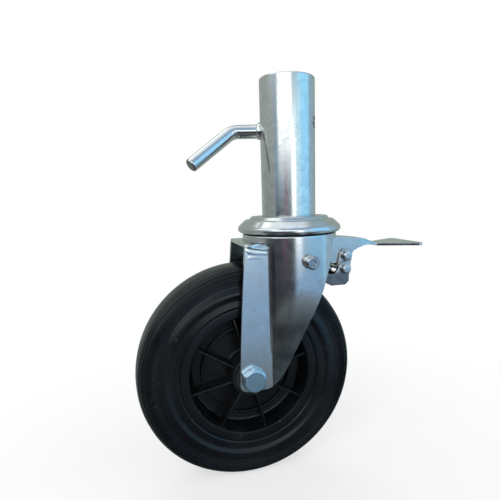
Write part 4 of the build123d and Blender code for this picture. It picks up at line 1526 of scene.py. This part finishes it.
    def floor_material(self) -> Material:
        """Build the floor's finish.

        Returns:
            The material.
        """
        material, graph, shader, place = Finish("floor_white").start(Roughness=0.9, Specular_IOR_Level=0.1)
        across = {0: place, 1: (1.0, 1.0, 0.0)}
        flat = graph.add("ShaderNodeVectorMath", across, operation="MULTIPLY").outputs[0]
        distance = graph.add("ShaderNodeVectorMath", {0: flat}, operation="LENGTH").outputs["Value"]
        fine = graph.remap(graph.noise(place, 30.0, 3.0), 0.3, 0.7)
        Finish.join(graph, shader, Base_Color=graph.blend(fine, *self.floor_tones))
        white = graph.add("ShaderNodeEmission", {"Color": (1.0, 1.0, 1.0, 1.0), "Strength": 1.0}).outputs[0]
        far = graph.remap(distance, *self.floor_fade, self.floor_white, 1.0)
        share = graph.math("MULTIPLY", far, graph.seen_plainly())
        mixed = graph.add("ShaderNodeMixShader", {0: share, 1: shader.outputs[0], 2: white}).outputs[0]
        graph.tree.links.new(mixed, material.node_tree.nodes["Material Output"].inputs["Surface"])
        return material

    def add_background(self) -> None:
        """Make the world white where it is seen, and a plain soft light elsewhere."""
        world = bpy.data.worlds.new("studio_world")
        world.use_nodes = True
        bpy.context.scene.world = world
        graph = Graph(world.node_tree)
        plain = world.node_tree.nodes["Background"]
        plain.inputs["Color"].default_value = (*self.world_light, 1.0)
        plain.inputs["Strength"].default_value = self.world_strength
        white = graph.add("ShaderNodeBackground", {"Color": (1.0, 1.0, 1.0, 1.0), "Strength": 1.0}).outputs[0]
        parts = {0: graph.seen_plainly(), 1: plain.outputs[0], 2: white}
        mixed = graph.add("ShaderNodeMixShader", parts).outputs[0]
        graph.tree.links.new(mixed, world.node_tree.nodes["World Output"].inputs["Surface"])

    def add_surround(self) -> None:
        """Put the reflected panels on a dome that only glossy rays see."""
        shape = bmesh.new()
        bmesh.ops.create_uvsphere(shape, u_segments=64, v_segments=32, radius=self.surround_radius)
        surround = in_scene("surround", plain_mesh("surround", shape))
        surround.data.materials.append(self.surround_material())
        surround.visible_camera = False
        surround.visible_diffuse = False
        surround.visible_shadow = False
        surround.visible_transmission = False

    def surround_material(self) -> Material:
        """Build the glow of the wall and of the panels on it.

        Returns:
            The material.
        """
        material = bpy.data.materials.new("surround_panels")
        material.use_nodes = True
        graph = Graph(material.node_tree)
        graph.tree.nodes.remove(graph.tree.nodes["Principled BSDF"])
        place = graph.add("ShaderNodeTexCoord").outputs["Object"]
        parts = graph.add("ShaderNodeSeparateXYZ", {0: place}).outputs
        azimuth = graph.math("DEGREES", graph.math("ARCTAN2", parts["Y"], parts["X"]))
        rise = graph.math("DIVIDE", parts["Z"], self.surround_radius)
        height = graph.math("DEGREES", graph.math("ARCSINE", rise))
        colour = graph.add("ShaderNodeRGB").outputs[0]
        colour.default_value = (*self.wall, 1.0)
        for panel in self.panels:
            away = graph.math("WRAP", graph.math("SUBTRACT", azimuth, panel.azimuth), 180.0)
            away.node.inputs[2].default_value = -180.0
            off = graph.math("ABSOLUTE", away)
            across = graph.remap(off, panel.half_width + panel.soft, panel.half_width - panel.soft)
            off = graph.math("ABSOLUTE", graph.math("SUBTRACT", height, panel.height))
            upward = graph.remap(off, panel.half_height + panel.soft, panel.half_height - panel.soft)
            colour = graph.blend(graph.math("MULTIPLY", across, upward), colour, panel.colour)
        glow = graph.add("ShaderNodeEmission", {"Color": colour, "Strength": 1.0}).outputs[0]
        graph.tree.links.new(glow, material.node_tree.nodes["Material Output"].inputs["Surface"])
        return material


def main() -> None:
    """Dress the castor and build the studio, logging each piece."""
    logging.basicConfig(level=logging.INFO, format="%(name)s: %(message)s")
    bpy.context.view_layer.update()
    pressed = PRESSED_PLATING.material()
    turned = TURNED_PLATING.material()
    Stem().build()
    SwivelHead().build(pressed, turned)
    Fork().build(pressed, turned)
    Wheel().build()
    Brake().build()
    Studio().build()
    bpy.context.scene.view_settings.view_transform = "Standard"


if __name__ == "__main__":
    main()
